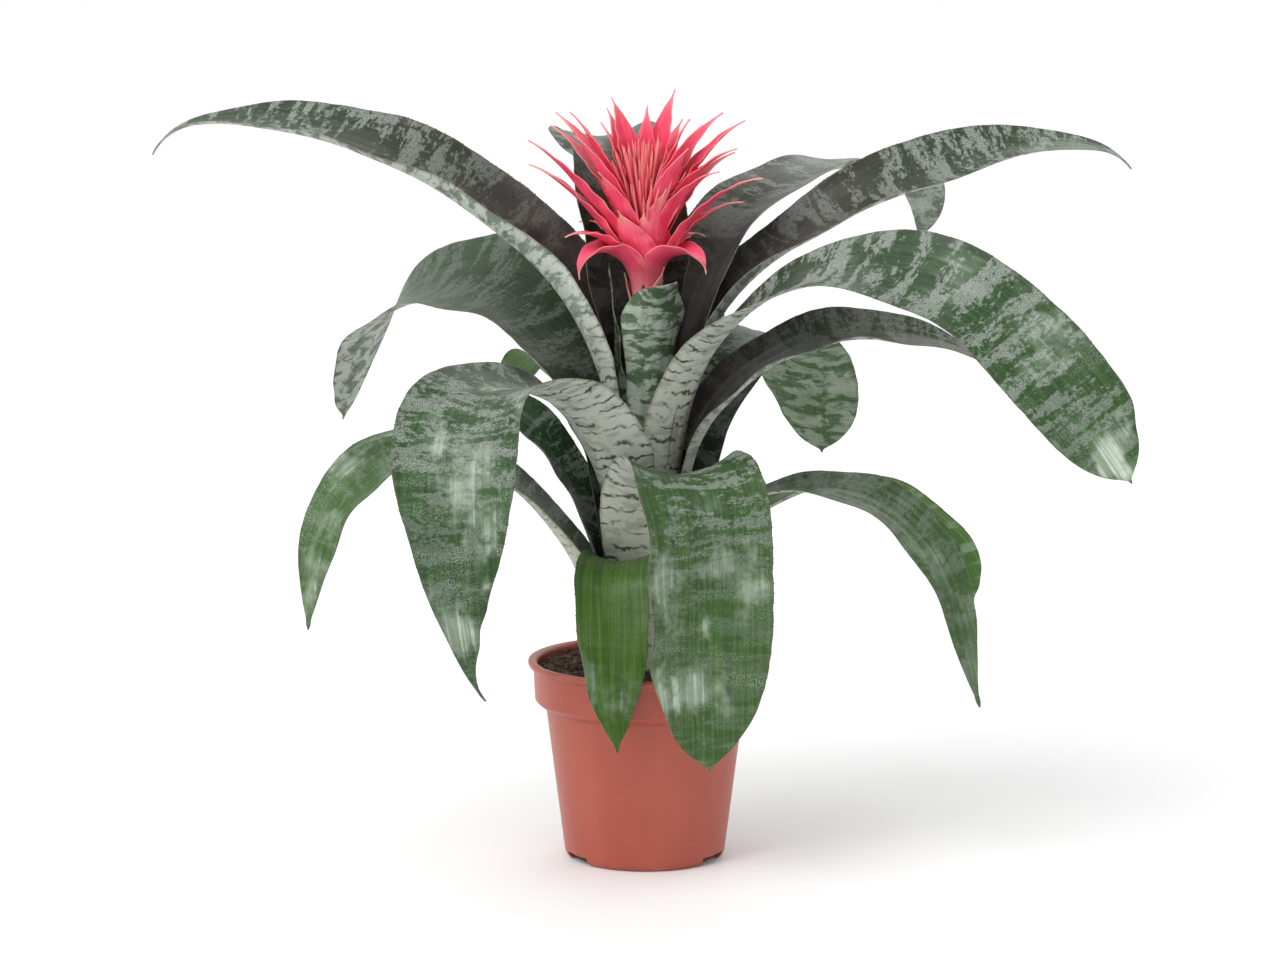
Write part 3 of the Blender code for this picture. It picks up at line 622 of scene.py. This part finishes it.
def add_ribbon(builder, ribbon, along, across, waves, looks, offset):
    """Adds a ribbon as a thin closed solid whose rims are finer than its middle."""
    u = columns(across)
    share, width, reach, grid = ribbon_surface(ribbon, along, u, waves)
    normal = surface_normals(grid)
    thin = 0.3 + 0.7 * np.sqrt(np.clip(1 - np.abs(u) ** 6, 0, 1))
    offset_by = normal * (ribbon.thickness / 2 * thin)[None, :, None]
    skin = np.stack([
        reach * width[:, None] / 2 + offset[0],
        np.broadcast_to((share * ribbon.length)[:, None], reach.shape) + offset[1],
    ], 2).reshape(-1, 2)
    rim = np.broadcast_to(smoothstep(0.955, 0.995, np.abs(u))[None, :], reach.shape).ravel()
    count = len(u)
    starts = []
    for sign, look in ((1, looks[0]), (-1, looks[1])):
        shade = np.stack([np.clip(spline(values, share), 0, 1) for values in look], 1)
        shade = np.repeat(shade, count, axis=0)
        starts.append(builder.points((grid + sign * offset_by).reshape(-1, 3), skin, shade, rim))
    upper, lower = starts

    def quad(index, *corners):
        """One face from (surface, row, column) corners."""
        builder.face([start + i * count + j for start, i, j in corners], index)

    last = count - 1
    for i in range(along):
        k = i + 1
        for j in range(last):
            m = j + 1
            quad(0, (upper, i, j), (upper, k, j), (upper, k, m), (upper, i, m))
            quad(1, (lower, i, j), (lower, i, m), (lower, k, m), (lower, k, j))
        quad(1, (upper, i, 0), (lower, i, 0), (lower, k, 0), (upper, k, 0))
        quad(1, (upper, i, last), (upper, k, last), (lower, k, last), (lower, i, last))
    for j in range(last):
        m = j + 1
        quad(1, (upper, 0, j), (upper, 0, m), (lower, 0, m), (lower, 0, j))
        quad(1, (upper, along, m), (upper, along, j), (lower, along, j), (lower, along, m))
    return share, grid, normal


def add_spine(builder, foot, along, out, normal, size, offset):
    """A small hooked thorn on a leaf's rim, set into the leaf by a part of its length."""
    foot = foot - out * size * 0.35
    apex = foot + out * size * 1.35 + along * size * 0.75
    base = [
        foot - along * size * 0.55,
        foot + normal * size * 0.22,
        foot + along * size * 0.75,
        foot - normal * size * 0.22,
    ]
    start = builder.points([*base, apex], [offset] * 5, [(0, 0, 0, 0)] * 5, [1.0] * 5)
    for k in range(4):
        builder.face((start + k, start + (k + 1) % 4, start + 4), 2)
    builder.face((start + 3, start + 2, start + 1, start), 2)


def add_spines(builder, grid, normal, share, seed, offset, last=0.85):
    """Thorns along both rims from where the blade leaves the sheath, smaller towards the tip."""
    draw = random.Random(seed)
    rows = len(share)
    for column, inward in ((0, 1), (-1, -2)):
        row = 6.0
        while row < rows * last:
            i = int(row)
            foot = grid[i, column]
            along = grid[min(i + 1, rows - 1), column] - grid[max(i - 1, 0), column]
            along = along / max(np.linalg.norm(along), 1e-9)
            out = foot - grid[i, inward]
            out = out - along * (out @ along)
            out = out / max(np.linalg.norm(out), 1e-9)
            size = SPINE_SIZE * (1 - 0.45 * share[i]) * draw.uniform(0.7, 1.2)
            add_spine(builder, foot, along, out, normal[i, column], size, offset)
            row += draw.uniform(1.4, 2.6)


# ---- leaves
# Looks are read at even steps from base to tip. Upper: dark (painted shade of the vase), silver, bloom,
# fresh.
# Under: cream, lines, blotch, fresh.
UPPER_LOOKS = {
    "vase": ((1, 1, 1, 1, 0.8, 0.5, 0.3, 0.1), (0, 0, 0, 0.05, 0.35, 0.8, 0.95, 1), (0, 0, 0, 0, 0, 0.1, 0.2),
             (0, 0)),
    "arch": ((1, 0.8, 0.35, 0.05, 0, 0), (0.2, 0.5, 0.9, 0.7, 0.35, 0.3), (0, 0, 0.2, 0.8, 1, 1),
             (0, 0, 0.05, 0.25, 0.3)),
    "twist": ((1, 0.8, 0.5, 0.2, 0, 0), (0.1, 0.2, 0.35, 0.45, 0.4, 0.5), (0, 0, 0, 0.1, 0.3),
             (0, 0, 0.1, 0.3)),
    "wide": ((1, 0.9, 0.4, 0.1, 0, 0), (0.1, 0.5, 1, 0.9, 0.8, 0.3), (0, 0, 0.1, 0.15, 0.5, 1),
             (0, 0, 0, 0.15, 0.35)),
    "front": ((0.8, 0.5, 0.1, 0, 0, 0, 0), (0.3, 0.6, 0.9, 0.7, 0.25, 0.15, 0.1), (0, 0, 0, 0.1, 0.8, 1, 1),
              (0, 0.1, 0.3, 0.5, 0.5)),
    "shade": ((0.5, 0.4, 0.2, 0, 0, 0), (0.7, 0.9, 1, 0.8, 0.5, 0.4), (0, 0, 0, 0.2, 0.5), (0, 0, 0, 0.1)),
    "plain": ((0.6, 0.3, 0, 0, 0), (0.2, 0.3, 0.1, 0, 0), (0, 0.1, 0.1, 0.5, 0.9), (0.3, 0.5, 0.9, 1, 1)),
    "droop": ((0.8, 0.5, 0.2, 0, 0), (0.2, 0.35, 0.3, 0.25, 0.2), (0, 0.1, 0.25, 0.3, 0.3),
             (0, 0.1, 0.2, 0.4, 0.5)),
    # The dark look is painted shade of the rosette's centre: inner leaves dull dark nearly to the tip.
    "dark": ((1, 1, 0.95, 0.8, 0.5, 0.3), (0, 0, 0.12, 0.25, 0.4, 0.5), (0, 0, 0, 0.1), (0, 0, 0, 0.1)),
}
UNDER_LOOKS = {
    "vase": ((1, 0.5, 0, 0, 0), (0.6, 0.9, 0.6, 0.4, 0.3), (0.1, 0.3, 0.7, 0.8, 0.6), (0, 0)),
    "striped": ((1, 0.55, 0.1, 0, 0), (0.8, 1, 1, 0.7, 0.5), (0.1, 0.3, 0.45, 0.7, 0.8), (0, 0, 0, 0.2)),
    "fresh": ((1, 0.6, 0.1, 0), (0.6, 0.8, 0.5, 0.2), (0.1, 0.5, 0.6, 0.3), (0, 0.15, 0.65, 1, 1)),
    "grey": ((0.8, 0.3, 0, 0), (0.5, 0.9, 0.9, 0.7), (0.2, 0.6, 0.8, 0.8), (0, 0.1)),
    # Painted shade of the rosette's centre: the innermost leaves' outer faces blotched dark green all along.
    "painted_centre_shade": ((0, 0), (0.8, 1, 1, 1), (1.0, 1, 1, 1), (0.5, 0.3, 0.25)),
    "shade": ((0.8, 0.3, 0, 0), (0.5, 0.7, 0.5, 0.4), (0.3, 0.8, 1, 1), (0, 0.2, 0.45, 0.5)),
}
# Upper and under look of each leaf, in the order of LEAVES.
LEAF_LOOKS = (
    ("front", "fresh"), ("plain", "fresh"), ("plain", "grey"), ("front", "striped"),
    ("droop", "striped"), ("shade", "striped"), ("front", "striped"), ("wide", "shade"),
    ("arch", "fresh"), ("dark", "vase"), ("arch", "striped"), ("wide", "striped"), ("twist", "grey"),
    ("wide", "striped"), ("vase", "vase"), ("vase", "vase"), ("vase", "vase"), ("dark", "grey"),
    ("dark", "painted_centre_shade"), ("dark", "painted_centre_shade"),
)
# By the leaf's number: the share of the length where its tip curls, then the curl's pitch and turn.
CURLS = {1: (0.9, -10, 0), 10: (0.9, -10, 0), 11: (0.94, 20, 30), 15: (0.92, -40, 0),
         16: (0.93, -30, 0), 17: (0.88, -90, 0), 20: (0.85, -60, 20)}
# How deeply the end of a blade is nibbled, as a share of its half width.
NIBBLES = {2: 0.35, 5: 0.15, 8: 0.1, 11: 0.3, 13: 0.1, 14: 0.35}
# Blades that are drawn wider than their solids, which leave room for their neighbours.
WIDER = {1: 1.15, 10: 1.15, 11: 1.05, 13: 1.25}


def layer_radius(layer):
    return CORE_RADIUS + GAP + LEAF_THICKNESS / 2 + (LAYERS - 1 - layer) * LAYER_PITCH


CROWN_RADIUS = layer_radius(0) + LEAF_THICKNESS


def make_leaf(number, leaf, materials):
    upper, under = LEAF_LOOKS[number - 1]
    radius = layer_radius(leaf.layer)
    inner = radius - LEAF_THICKNESS / 2
    start_height = CROWN_Z + (CROWN_RADIUS - inner) * CROWN_STEP / LAYER_PITCH
    ribbon = Ribbon(
        start_radius=radius, start_height=start_height + GAP,
        azimuth=leaf.azimuth, length=leaf.length,
        base_width=radius * math.radians(SHEATH_WRAP),
        width=leaf.width * WIDER.get(number, 1), neck=LEAF_NECK,
        pitch=leaf.pitch, turn=leaf.turn, roll=leaf.roll, cup=leaf.cup, tip=leaf.tip,
        wrap=SHEATH_WRAP, thickness=LEAF_THICKNESS, curl=CURLS.get(number, (0.9, 0, 0)),
    )
    builder = Builder()
    offset = (0.31 * number, 0.73 * number)
    rows = round(leaf.length / LEAF_ROW_PITCH)
    waves = Waves(100 + number, nibble=NIBBLES.get(number, 0))
    looks = (UPPER_LOOKS[upper], UNDER_LOOKS[under])
    share, grid, normal = add_ribbon(builder, ribbon, rows, LEAF_COLUMNS, waves, looks, offset)
    add_spines(builder, grid, normal, share, 500 + number, offset)
    return builder.finish(leaf.name.replace("leaf_", "blade_"), materials, [leaf.name], leaf.colour)


# ---- flower head
BRACT_LOOK = ((1, 0.7, 0.3, 0.1, 0), (0, 0, 0, 0, 0.35), (0, 0, 0, 0, 0.0), (0, 0.05, 0.15, 0.2, 0.3))
BRACT_OUTER = ((0.3, 0, 0, 0, 0), (0.5, 0.1, 0, 0.1, 0.5), (0, 0, 0, 0, 0.35), (0.3, 0.25, 0.2, 0.3, 0.35))
FLORET_LOOK = ((0.8, 0.5, 0.1, 0), (0, 0, 0.05, 0.45), (0, 0, 0, 0), (0.1, 0.3, 0.6, 0.7))

# The drawn bracts, whorl by whorl. Each is set out by its azimuth, how far from the axis and how high
# its tip ends, its width (all three in millimetres) and the pitch at its foot. Its curve follows.
BRACTS_PER_WHORL = (3, 3, 3, 3, 3, 3, 3, 1)   # solids that each drawn whorl stands for
TipBract = namedtuple("TipBract", "azimuth reach height width pitch")
DRAWN_WHORLS = [
    [(-156, 36, 300, 30, 88), (-28, 35, 303, 32, 88), (96, 36, 312, 22, 80), (40, 40, 318, 18, 78)],
    [(-124, 24, 336, 28, 72), (-62, 21, 347, 25, 80), (146, 40, 326, 20, 76), (8, 50, 338, 16, 68),
     (70, 34, 340, 18, 74)],
    [(-160, 43, 322, 18, 60), (-12, 60, 352, 17, 62), (118, 38, 350, 18, 74), (-92, 16, 336, 20, 70),
     (-178, 58, 358, 20, 60)],
    [(-168, 59, 371, 25, 58), (-34, 44, 356, 16, 74), (84, 36, 362, 18, 76), (-134, 34, 356, 18, 68),
     (26, 50, 362, 16, 68)],
    [(-8, 46, 366, 24, 72), (160, 50, 376, 20, 66), (-52, 34, 368, 18, 74), (104, 32, 368, 18, 76),
     (-152, 40, 374, 18, 70)],
    [(12, 51, 379, 23, 66), (166, 46, 383, 27, 66), (56, 34, 378, 17, 76), (130, 30, 384, 18, 76)],
    [(-176, 37, 384, 20, 70), (28, 45, 382, 17, 70), (-20, 30, 378, 16, 78), (90, 22, 384, 17, 80)],
    [(134, 24, 390, 20, 80), (44, 20, 394, 22, 82), (80, 6, 386, 14, 84), (168, 22, 378, 14, 78),
     (2, 22, 380, 15, 80)],
]


def bract_curve(pitch, gain, rise):
    """Pitches and length of a curve that leaves at a pitch and ends at a distance out and up."""
    share = np.linspace(0, 1, 41)
    wanted = math.atan2(rise, gain)
    low, high = -260.0, 90.0
    for _ in range(40):
        bend = (low + high) / 2
        angle = np.radians(pitch + bend * share ** 1.5)
        out, up = np.cos(angle).mean(), np.sin(angle).mean()
        if math.atan2(up, out) > wanted:
            high = bend
        else:
            low = bend
    places = np.linspace(0, 1, 5)
    return tuple(pitch + bend * places ** 1.5), math.hypot(gain, rise) / math.hypot(out, up)


def bract_ribbon(bract, level):
    radius = STALK_RADIUS + GAP + BRACT_THICKNESS * (1 + 0.2 * (bract.azimuth % 5))
    foot = HEAD_BASE_HEIGHT + WHORL_STEP * level
    pitch, length = bract_curve(bract.pitch, bract.reach - radius, bract.height - foot)
    return Ribbon(
        start_radius=radius, start_height=foot, azimuth=bract.azimuth, length=length,
        base_width=0.009, width=bract.width, neck=0.35, pitch=pitch,
        turn=(0, (bract.azimuth * 7) % 9 - 4), roll=(0,), cup=(10, 20, 30, 50), tip=(0.42, 1.6, 1.05),
        wrap=150, thickness=BRACT_THICKNESS, curl=(0.8, -12, 0),
    )


def make_whorl(level, first, count, materials):
    builder = Builder()
    for k, (azimuth, reach, height, width, pitch) in enumerate(DRAWN_WHORLS[level]):
        bract = TipBract(azimuth, reach / 1000, height / 1000, width / 1000, pitch)
        number = 8 * level + k
        ribbon = bract_ribbon(bract, level)
        rows = round(ribbon.length / BRACT_ROW_PITCH)
        waves = Waves(900 + number, rim=0.0006, buckle=0.0005, channel=0.0006, calm=0.2)
        looks = (BRACT_LOOK, BRACT_OUTER if level < 3 else BRACT_LOOK)
        offset = (0.11 * number, 0.17 * number)
        add_ribbon(builder, ribbon, rows, BRACT_COLUMNS, waves, looks, offset)
    names = [f"bract_{number:02d}" for number in range(first, first + count)]
    return builder.finish(f"bract_whorl_{level + 1}", materials, names, "bract_pink")


def make_tufts(materials):
    """Closed florets packed between the upper bracts: slim twisted buds of three petals."""
    draw = random.Random(41)
    top = HEAD_BASE_HEIGHT + WHORL_STEP * len(DRAWN_WHORLS)
    groups = [Builder(), Builder(), Builder()]
    for number in range(FLORETS):
        share = (number + 0.5) / FLORETS
        azimuth = math.radians(GOLDEN_ANGLE) * number
        lean = math.radians(2 + 25 * share ** 0.8 + draw.uniform(-4, 4))
        reach = 0.0022 + 0.004 * share
        foot = top - 0.002 - 0.02 * share
        length = 0.042 - 0.006 * share + draw.uniform(-0.01, 0.004)
        if share < 0.25:
            foot -= 0.004
        girth = draw.uniform(0.0006, 0.0011)
        twist = draw.uniform(0, math.tau)
        add_bud(groups[number % 3], azimuth, lean, reach, foot, length, girth, twist, number)
    sets = [[f"floret_{k + 1:02d}" for k in range(g, 10, 3)] for g in range(3)]
    for k, builder in enumerate(groups):
        builder.finish(f"floret_tuft_{k + 1}", materials, sets[k], "floret_coral")


def add_bud(builder, azimuth, lean, reach, foot, length, girth, twist, number):
    rows, around = 16, 9
    out = np.array([math.cos(azimuth), math.sin(azimuth), 0.0])
    side = np.array([-math.sin(azimuth), math.cos(azimuth), 0.0])
    place = out * reach + np.array([0, 0, foot])
    rings, skins, shades = [], [], []
    share = np.linspace(0, 1, rows + 1)
    swell = np.interp(share, [0, 0.25, 0.55, 0.8, 0.93, 1], [0.55, 0.85, 1.0, 0.78, 0.42, 0.06])
    shade = np.stack([np.clip(spline(values, share), 0, 1) for values in FLORET_LOOK], 1)
    for i, s in enumerate(share):
        bend = lean * (0.75 + 0.5 * s)
        along = out * math.sin(bend) + np.array([0, 0, math.cos(bend)])
        if i:
            place = place + along * length / rows
        normal = out * math.cos(bend) - np.array([0, 0, math.sin(bend)])
        for k in range(around):
            angle = math.tau * k / around
            petal = 1 + 0.2 * math.cos(3 * (angle - twist - 1.6 * s))
            radius = girth * swell[i] * petal
            rings.append(place + (normal * math.cos(angle) + side * math.sin(angle)) * radius)
            skins.append((angle * 0.001 + 0.13 * number, s * length + 0.19 * number))
            shades.append(shade[i])
    start = builder.points(rings, skins, shades, [0.0] * len(rings))
    for corners in tube_faces(start, rows + 1, around):
        builder.face(corners, 0)
    builder.face([start + k for k in range(around)][::-1], 0)
    builder.face([start + rows * around + k for k in range(around)], 0)


def make_scape(bract, stalk):
    """The short visible stalk and the pale scale bracts that clasp it under the head."""
    profile = [(0.0, 0.118), (0.004, 0.118), (0.0042, 0.2), (0.0043, 0.262), (0.0047, 0.276),
               (0.0049, 0.286), (0.0045, 0.296), (0.004, 0.312), (0.0036, 0.328),
               (0.0022, 0.333), (0.0, 0.334)]
    verts, faces = turned(refine(profile, 0.004), 40)
    add_piece("flower_scape", verts, faces, [stalk], ["flower_stalk"])
    builder = Builder()
    pale = ((0, 0, 0, 0), (1, 0.9, 0.5, 0.3), (0, 0.1, 0.1, 0.5), (0.9, 0.7, 0.4, 0.3))
    for k, (azimuth, height) in enumerate(((-118, 0.262), (35, 0.268), (160, 0.272), (-30, 0.276))):
        ribbon = Ribbon(
            start_radius=0.0062, start_height=height, azimuth=azimuth, length=0.03,
            base_width=0.012, width=0.014, neck=0.3, pitch=(86, 84, 78, 72), turn=(0,), roll=(0,),
            cup=(25, 25), tip=(0.45, 1.4, 1.0), wrap=150, thickness=0.0007, curl=(0.9, 0, 0),
        )
        waves = Waves(40 + k, rim=0.0004, buckle=0.0003, channel=0.0003)
        add_ribbon(builder, ribbon, 22, 15, waves, (pale, pale), (0.4 * k, 0.9 * k))
    builder.finish("scape_bracts", [bract, bract], (), "stalk_pink")


# ---- pot and soil
def refine(profile, pitch):
    """Adds points to a profile so that no step is longer than pitch."""
    result = [profile[0]]
    for a, b in zip(profile, profile[1:]):
        steps = max(1, math.ceil(math.dist(a, b) / pitch))
        for k in range(1, steps + 1):
            result.append((a[0] + (b[0] - a[0]) * k / steps, a[1] + (b[1] - a[1]) * k / steps))
    return result


def rounded(profile, radius, steps=4):
    """Rounds the inner corners of a profile with short curves."""
    result = [profile[0]]
    for before, here, after in zip(profile, profile[1:], profile[2:]):
        here, before, after = np.array(here), np.array(before), np.array(after)
        back, ahead = before - here, after - here
        near = min(radius, 0.45 * np.linalg.norm(back), 0.45 * np.linalg.norm(ahead))
        start = here + back / np.linalg.norm(back) * near
        end = here + ahead / np.linalg.norm(ahead) * near
        for k in range(steps + 1):
            t = k / steps
            result.append(tuple((1 - t) ** 2 * start + 2 * t * (1 - t) * here + t * t * end))
    return result + [profile[-1]]


def circle(radius, steps):
    angles = [math.tau * k / steps for k in range(steps)]
    return [(radius * math.cos(a), radius * math.sin(a)) for a in angles]


def tube_faces(start, rings, steps):
    """Faces between rings of points that follow one another from start."""
    faces = []
    for ring in range(start, start + (rings - 1) * steps, steps):
        for k in range(steps):
            a, b = ring + k, ring + (k + 1) % steps
            faces.append((a, b, b + steps, a + steps))
    return faces


def turned(profile, steps):
    """Points and faces of a closed turned solid whose profile starts and ends on the axis."""
    verts = [(0, 0, profile[0][1]), (0, 0, profile[-1][1])]
    rings = profile[1:-1]
    for radius, height in rings:
        verts += [(x, y, height) for x, y in circle(radius, steps)]
    last = 2 + (len(rings) - 1) * steps
    faces = tube_faces(2, len(rings), steps)
    for k in range(steps):
        after = (k + 1) % steps
        faces += [(0, 2 + after, 2 + k), (1, last + k, last + after)]
    return verts, faces


def wall_radius(height):
    top = POT_HEIGHT - POT_BAND_HEIGHT
    return POT_BASE_RADIUS + (POT_BODY_RADIUS - POT_BASE_RADIUS) * height / top


def make_pot(skin):
    collar = POT_HEIGHT - POT_BAND_HEIGHT
    lip = POT_HEIGHT - POT_LIP_HEIGHT
    profile = [
        (0.0, 0.0), (POT_BASE_RADIUS - 0.0022, 0.0), (POT_BASE_RADIUS, 0.0026),
        (wall_radius(collar - 0.003), collar - 0.003), (POT_BAND_RADIUS - 0.0026, collar - 0.0012),
        (POT_BAND_RADIUS, collar + 0.0012), (POT_BAND_RADIUS + 0.0007, lip - 0.0016),
        (POT_LIP_RADIUS - 0.0006, lip - 0.0004), (POT_LIP_RADIUS, lip + 0.001),
        (POT_LIP_RADIUS - 0.0002, POT_HEIGHT - 0.0002), (POT_BAND_RADIUS + 0.0012, POT_HEIGHT),
        (POT_BAND_RADIUS - POT_WALL, POT_HEIGHT - 0.0012),
        (POT_BAND_RADIUS - POT_WALL - 0.0004, collar + 0.0012),
        (wall_radius(collar) - POT_WALL, collar), (wall_radius(0.003) - POT_WALL, 0.003),
        (wall_radius(0.0013) - 2 * POT_WALL, POT_WALL), (0.0, POT_WALL),
    ]
    verts, faces = turned(rounded(profile, POT_EDGE), POT_STEPS)
    pot = add_piece("nursery_pot", verts, faces, [skin], ["pot"])
    for number in range(DRAIN_SLOTS):
        middle = math.radians(90 + 360 / DRAIN_SLOTS * number)
        cut_slot(pot, middle)
    return pot


def cut_slot(pot, middle):
    """Opens one drain slot with a Boolean, then keeps only its result."""
    half = math.radians(DRAIN_SLOT_ARC / 2)
    steps = 10
    ring = []
    for radius, angles in (
        (POT_BASE_RADIUS - DRAIN_SLOT_DEPTH, np.linspace(-half, half, steps)),
        (POT_BASE_RADIUS + 0.004, np.linspace(half, -half, steps)),
    ):
        ring += [(radius * math.cos(middle + a), radius * math.sin(middle + a)) for a in angles]
    count = len(ring)
    verts = [(x, y, -0.002) for x, y in ring] + [(x, y, DRAIN_SLOT_HEIGHT) for x, y in ring]
    faces = [tuple(range(count)), tuple(range(2 * count - 1, count - 1, -1))]
    faces += [(k, k + count, (k + 1) % count + count, (k + 1) % count) for k in range(count)]
    mesh = bpy.data.meshes.new("slot_tool")
    mesh.from_pydata(verts, [], faces)
    tool = linked("slot_tool", mesh)
    modifier = pot.modifiers.new("slot", "BOOLEAN")
    modifier.operation = "DIFFERENCE"
    modifier.solver = "EXACT"
    modifier.object = tool
    graph = bpy.context.evaluated_depsgraph_get()
    result = bpy.data.meshes.new_from_object(pot.evaluated_get(graph))
    pot.modifiers.clear()
    pot.data = result
    bpy.data.objects.remove(tool)
    result.set_sharp_from_angle(angle=math.radians(38))


def soil_height(x, y):
    """Lumpy surface: a low mound towards the plant, clods and crumbs."""
    radius = math.hypot(x, y)
    mound = SOIL_MOUND * (1 - (radius / POT_BAND_RADIUS) ** 2)
    clods = 0.0016 * noise.fractal(Vector((x, y, 0.3)) * 90, 1.0, 2.1, 4)
    crumbs = 0.0011 * abs(noise.noise(Vector((x, y, 1.7)) * 420))
    grit = 0.0006 * noise.noise(Vector((x, y, 5.1)) * 1100)
    return SOIL_TOP - SOIL_MOUND + SOIL_FILL + mound + clods + crumbs + grit


def make_soil(skin, fibre):
    inside = POT_BAND_RADIUS - POT_WALL - 2 * GAP
    collar = POT_HEIGHT - POT_BAND_HEIGHT
    floor = POT_WALL + GAP
    profile = [(0.0, floor), (wall_radius(floor) - 2 * POT_WALL - 2 * GAP, floor),
               (wall_radius(0.004) - POT_WALL - GAP, 0.004), (wall_radius(collar) - POT_WALL - GAP, collar),
               (inside - 0.0008, collar + 0.002), (inside - 0.0004, SOIL_TOP - 0.006)]
    profile += [(inside * (1 - k / SOIL_RINGS), None) for k in range(SOIL_RINGS)] + [(0.0, None)]
    verts, faces = turned(profile, SOIL_STEPS)
    verts = [(x, y, soil_height(x, y) if z is None else z) for x, y, z in verts]
    add_piece("soil_ball", verts, faces, [skin], ["potting_soil"])
    make_litter(inside, skin, fibre)


def scatter(draw, inside, low, high):
    """A random place on the soil."""
    radius, angle = inside * math.sqrt(draw.uniform(low, high)), draw.uniform(0, math.tau)
    return radius * math.cos(angle), radius * math.sin(angle)


def make_litter(inside, skin, fibre):
    """Loose crumbs and short peat fibres lying on the soil."""
    draw = random.Random(7)
    verts, faces, indices = [], [], []
    for _ in range(CRUMBS):
        x, y = scatter(draw, inside, 0.1, 0.97)
        size = draw.uniform(0.0005, 0.0014)
        centre = Vector((x, y, soil_height(x, y) + size * 0.3))
        turn = draw.uniform(0, math.tau)
        axis = Vector((draw.gauss(0, 1), draw.gauss(0, 1), 1)).normalized()
        spin = Matrix.Rotation(turn, 3, axis)
        start = len(verts)
        for corner in ((1, 0, 0), (-1, 0, 0), (0, 1, 0), (0, -1, 0), (0, 0, 1), (0, 0, -1)):
            verts.append(tuple(centre + spin @ (Vector(corner) * size * draw.uniform(0.5, 1.1))))
        for a in (0, 1):
            for b in (2, 3):
                for c in (4, 5):
                    order = (start + a, start + b, start + c)
                    faces.append(order if (a + b + c) % 2 == 0 else order[::-1])
                    indices.append(0)
    for _ in range(FIBRES):
        x, y = scatter(draw, inside, 0.08, 0.96)
        heading, length = draw.uniform(0, math.tau), draw.uniform(0.003, 0.009)
        width = draw.uniform(0.00012, 0.00032)
        bend, tilt = draw.uniform(-1.6, 1.6), draw.uniform(-0.25, 0.45)
        start = len(verts)
        place = Vector((x, y, soil_height(x, y) + 0.0006))
        steps = 4
        for k in range(steps + 1):
            turn = heading + bend * k / steps
            along = Vector((math.cos(turn), math.sin(turn), tilt * (1 - 2 * k / steps)))
            if k:
                place = place + along * length / steps
            if math.hypot(place.x, place.y) > inside:
                place.x, place.y = place.x * 0.97, place.y * 0.97
            side = Vector((-math.sin(turn), math.cos(turn), 0))
            taper = width * (1 - 0.6 * abs(2 * k / steps - 1))
            for corner in (side, Vector((0, 0, 1)), -side, Vector((0, 0, -1))):
                verts.append(tuple(place + corner * taper))
        faces += tube_faces(start, steps + 1, 4)
        faces += [tuple(range(start + 3, start - 1, -1)), tuple(range(len(verts) - 4, len(verts)))]
        indices += [1] * (4 * steps + 2)
    add_piece("soil_litter", verts, faces, [skin, fibre], (), indices, smooth=False)


# ---- studio
def add_light(name, place, target, size, power):
    data = bpy.data.lights.new(name, "AREA")
    data.shape = "RECTANGLE"
    data.size, data.size_y = size
    data.energy = power
    lamp = linked(name, data)
    lamp.location = place
    point(lamp, Vector(target) - Vector(place))


def make_studio():
    scene = bpy.context.scene
    mesh = bpy.data.meshes.new("studio_floor")
    verts = [(x, y, 0) for x, y in circle(30.0, 64)]
    mesh.from_pydata(verts, [], [tuple(range(len(verts)))])
    mesh.materials.append(floor_skin())
    floor = linked("studio_floor", mesh)
    world = bpy.data.worlds.new("studio")
    world.use_nodes = True
    background = world.node_tree.nodes["Background"]
    background.inputs["Color"].default_value = (1, 1, 1, 1)
    background.inputs["Strength"].default_value = WORLD_STRENGTH
    scene.world = world
    sun = bpy.data.lights.new("sky_window", "SUN")
    sun.energy = SUN_STRENGTH
    sun.angle = math.radians(38)
    point(linked("sky_window", sun), (0.62, 0.55, -1.0))
    middle = (0, 0, 0.2)
    add_light("key", (-1.4, -1.6, 1.5), middle, (0.9, 1.3), KEY_POWER)
    add_light("back", (0.9, 1.8, 1.6), middle, (1.6, 0.9), BACK_POWER)
    scene.view_settings.view_transform = "Standard"
    scene.view_settings.look = "None"
    data = bpy.data.cameras.new("camera")
    data.sensor_width = SENSOR_WIDTH
    data.sensor_fit = "HORIZONTAL"
    data.lens = CAMERA_LENS
    scene.camera = linked("camera", data)
    scene.camera.location = CAMERA_PLACE
    point(scene.camera, Vector(CAMERA_AIM) - Vector(CAMERA_PLACE))


# ---- build
def main():
    make_studio()
    bract, stalk = bract_skin(), stalk_skin()
    leaf_skins = [leaf_upper_skin(), leaf_under_skin(), spine_skin()]
    make_pot(pot_skin())
    make_soil(soil_skin(), fibre_skin())
    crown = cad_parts["root_crown"]
    crown.data.materials.clear()
    crown.data.materials.append(crown_skin())
    for number, leaf in enumerate(LEAVES, 1):
        make_leaf(number, leaf, leaf_skins)
    first = 1
    for level, count in enumerate(BRACTS_PER_WHORL):
        make_whorl(level, first, count, [bract, bract])
        first += count
    make_tufts([bract])
    make_scape(bract, stalk)


main()
bpy.context.view_layer.update()
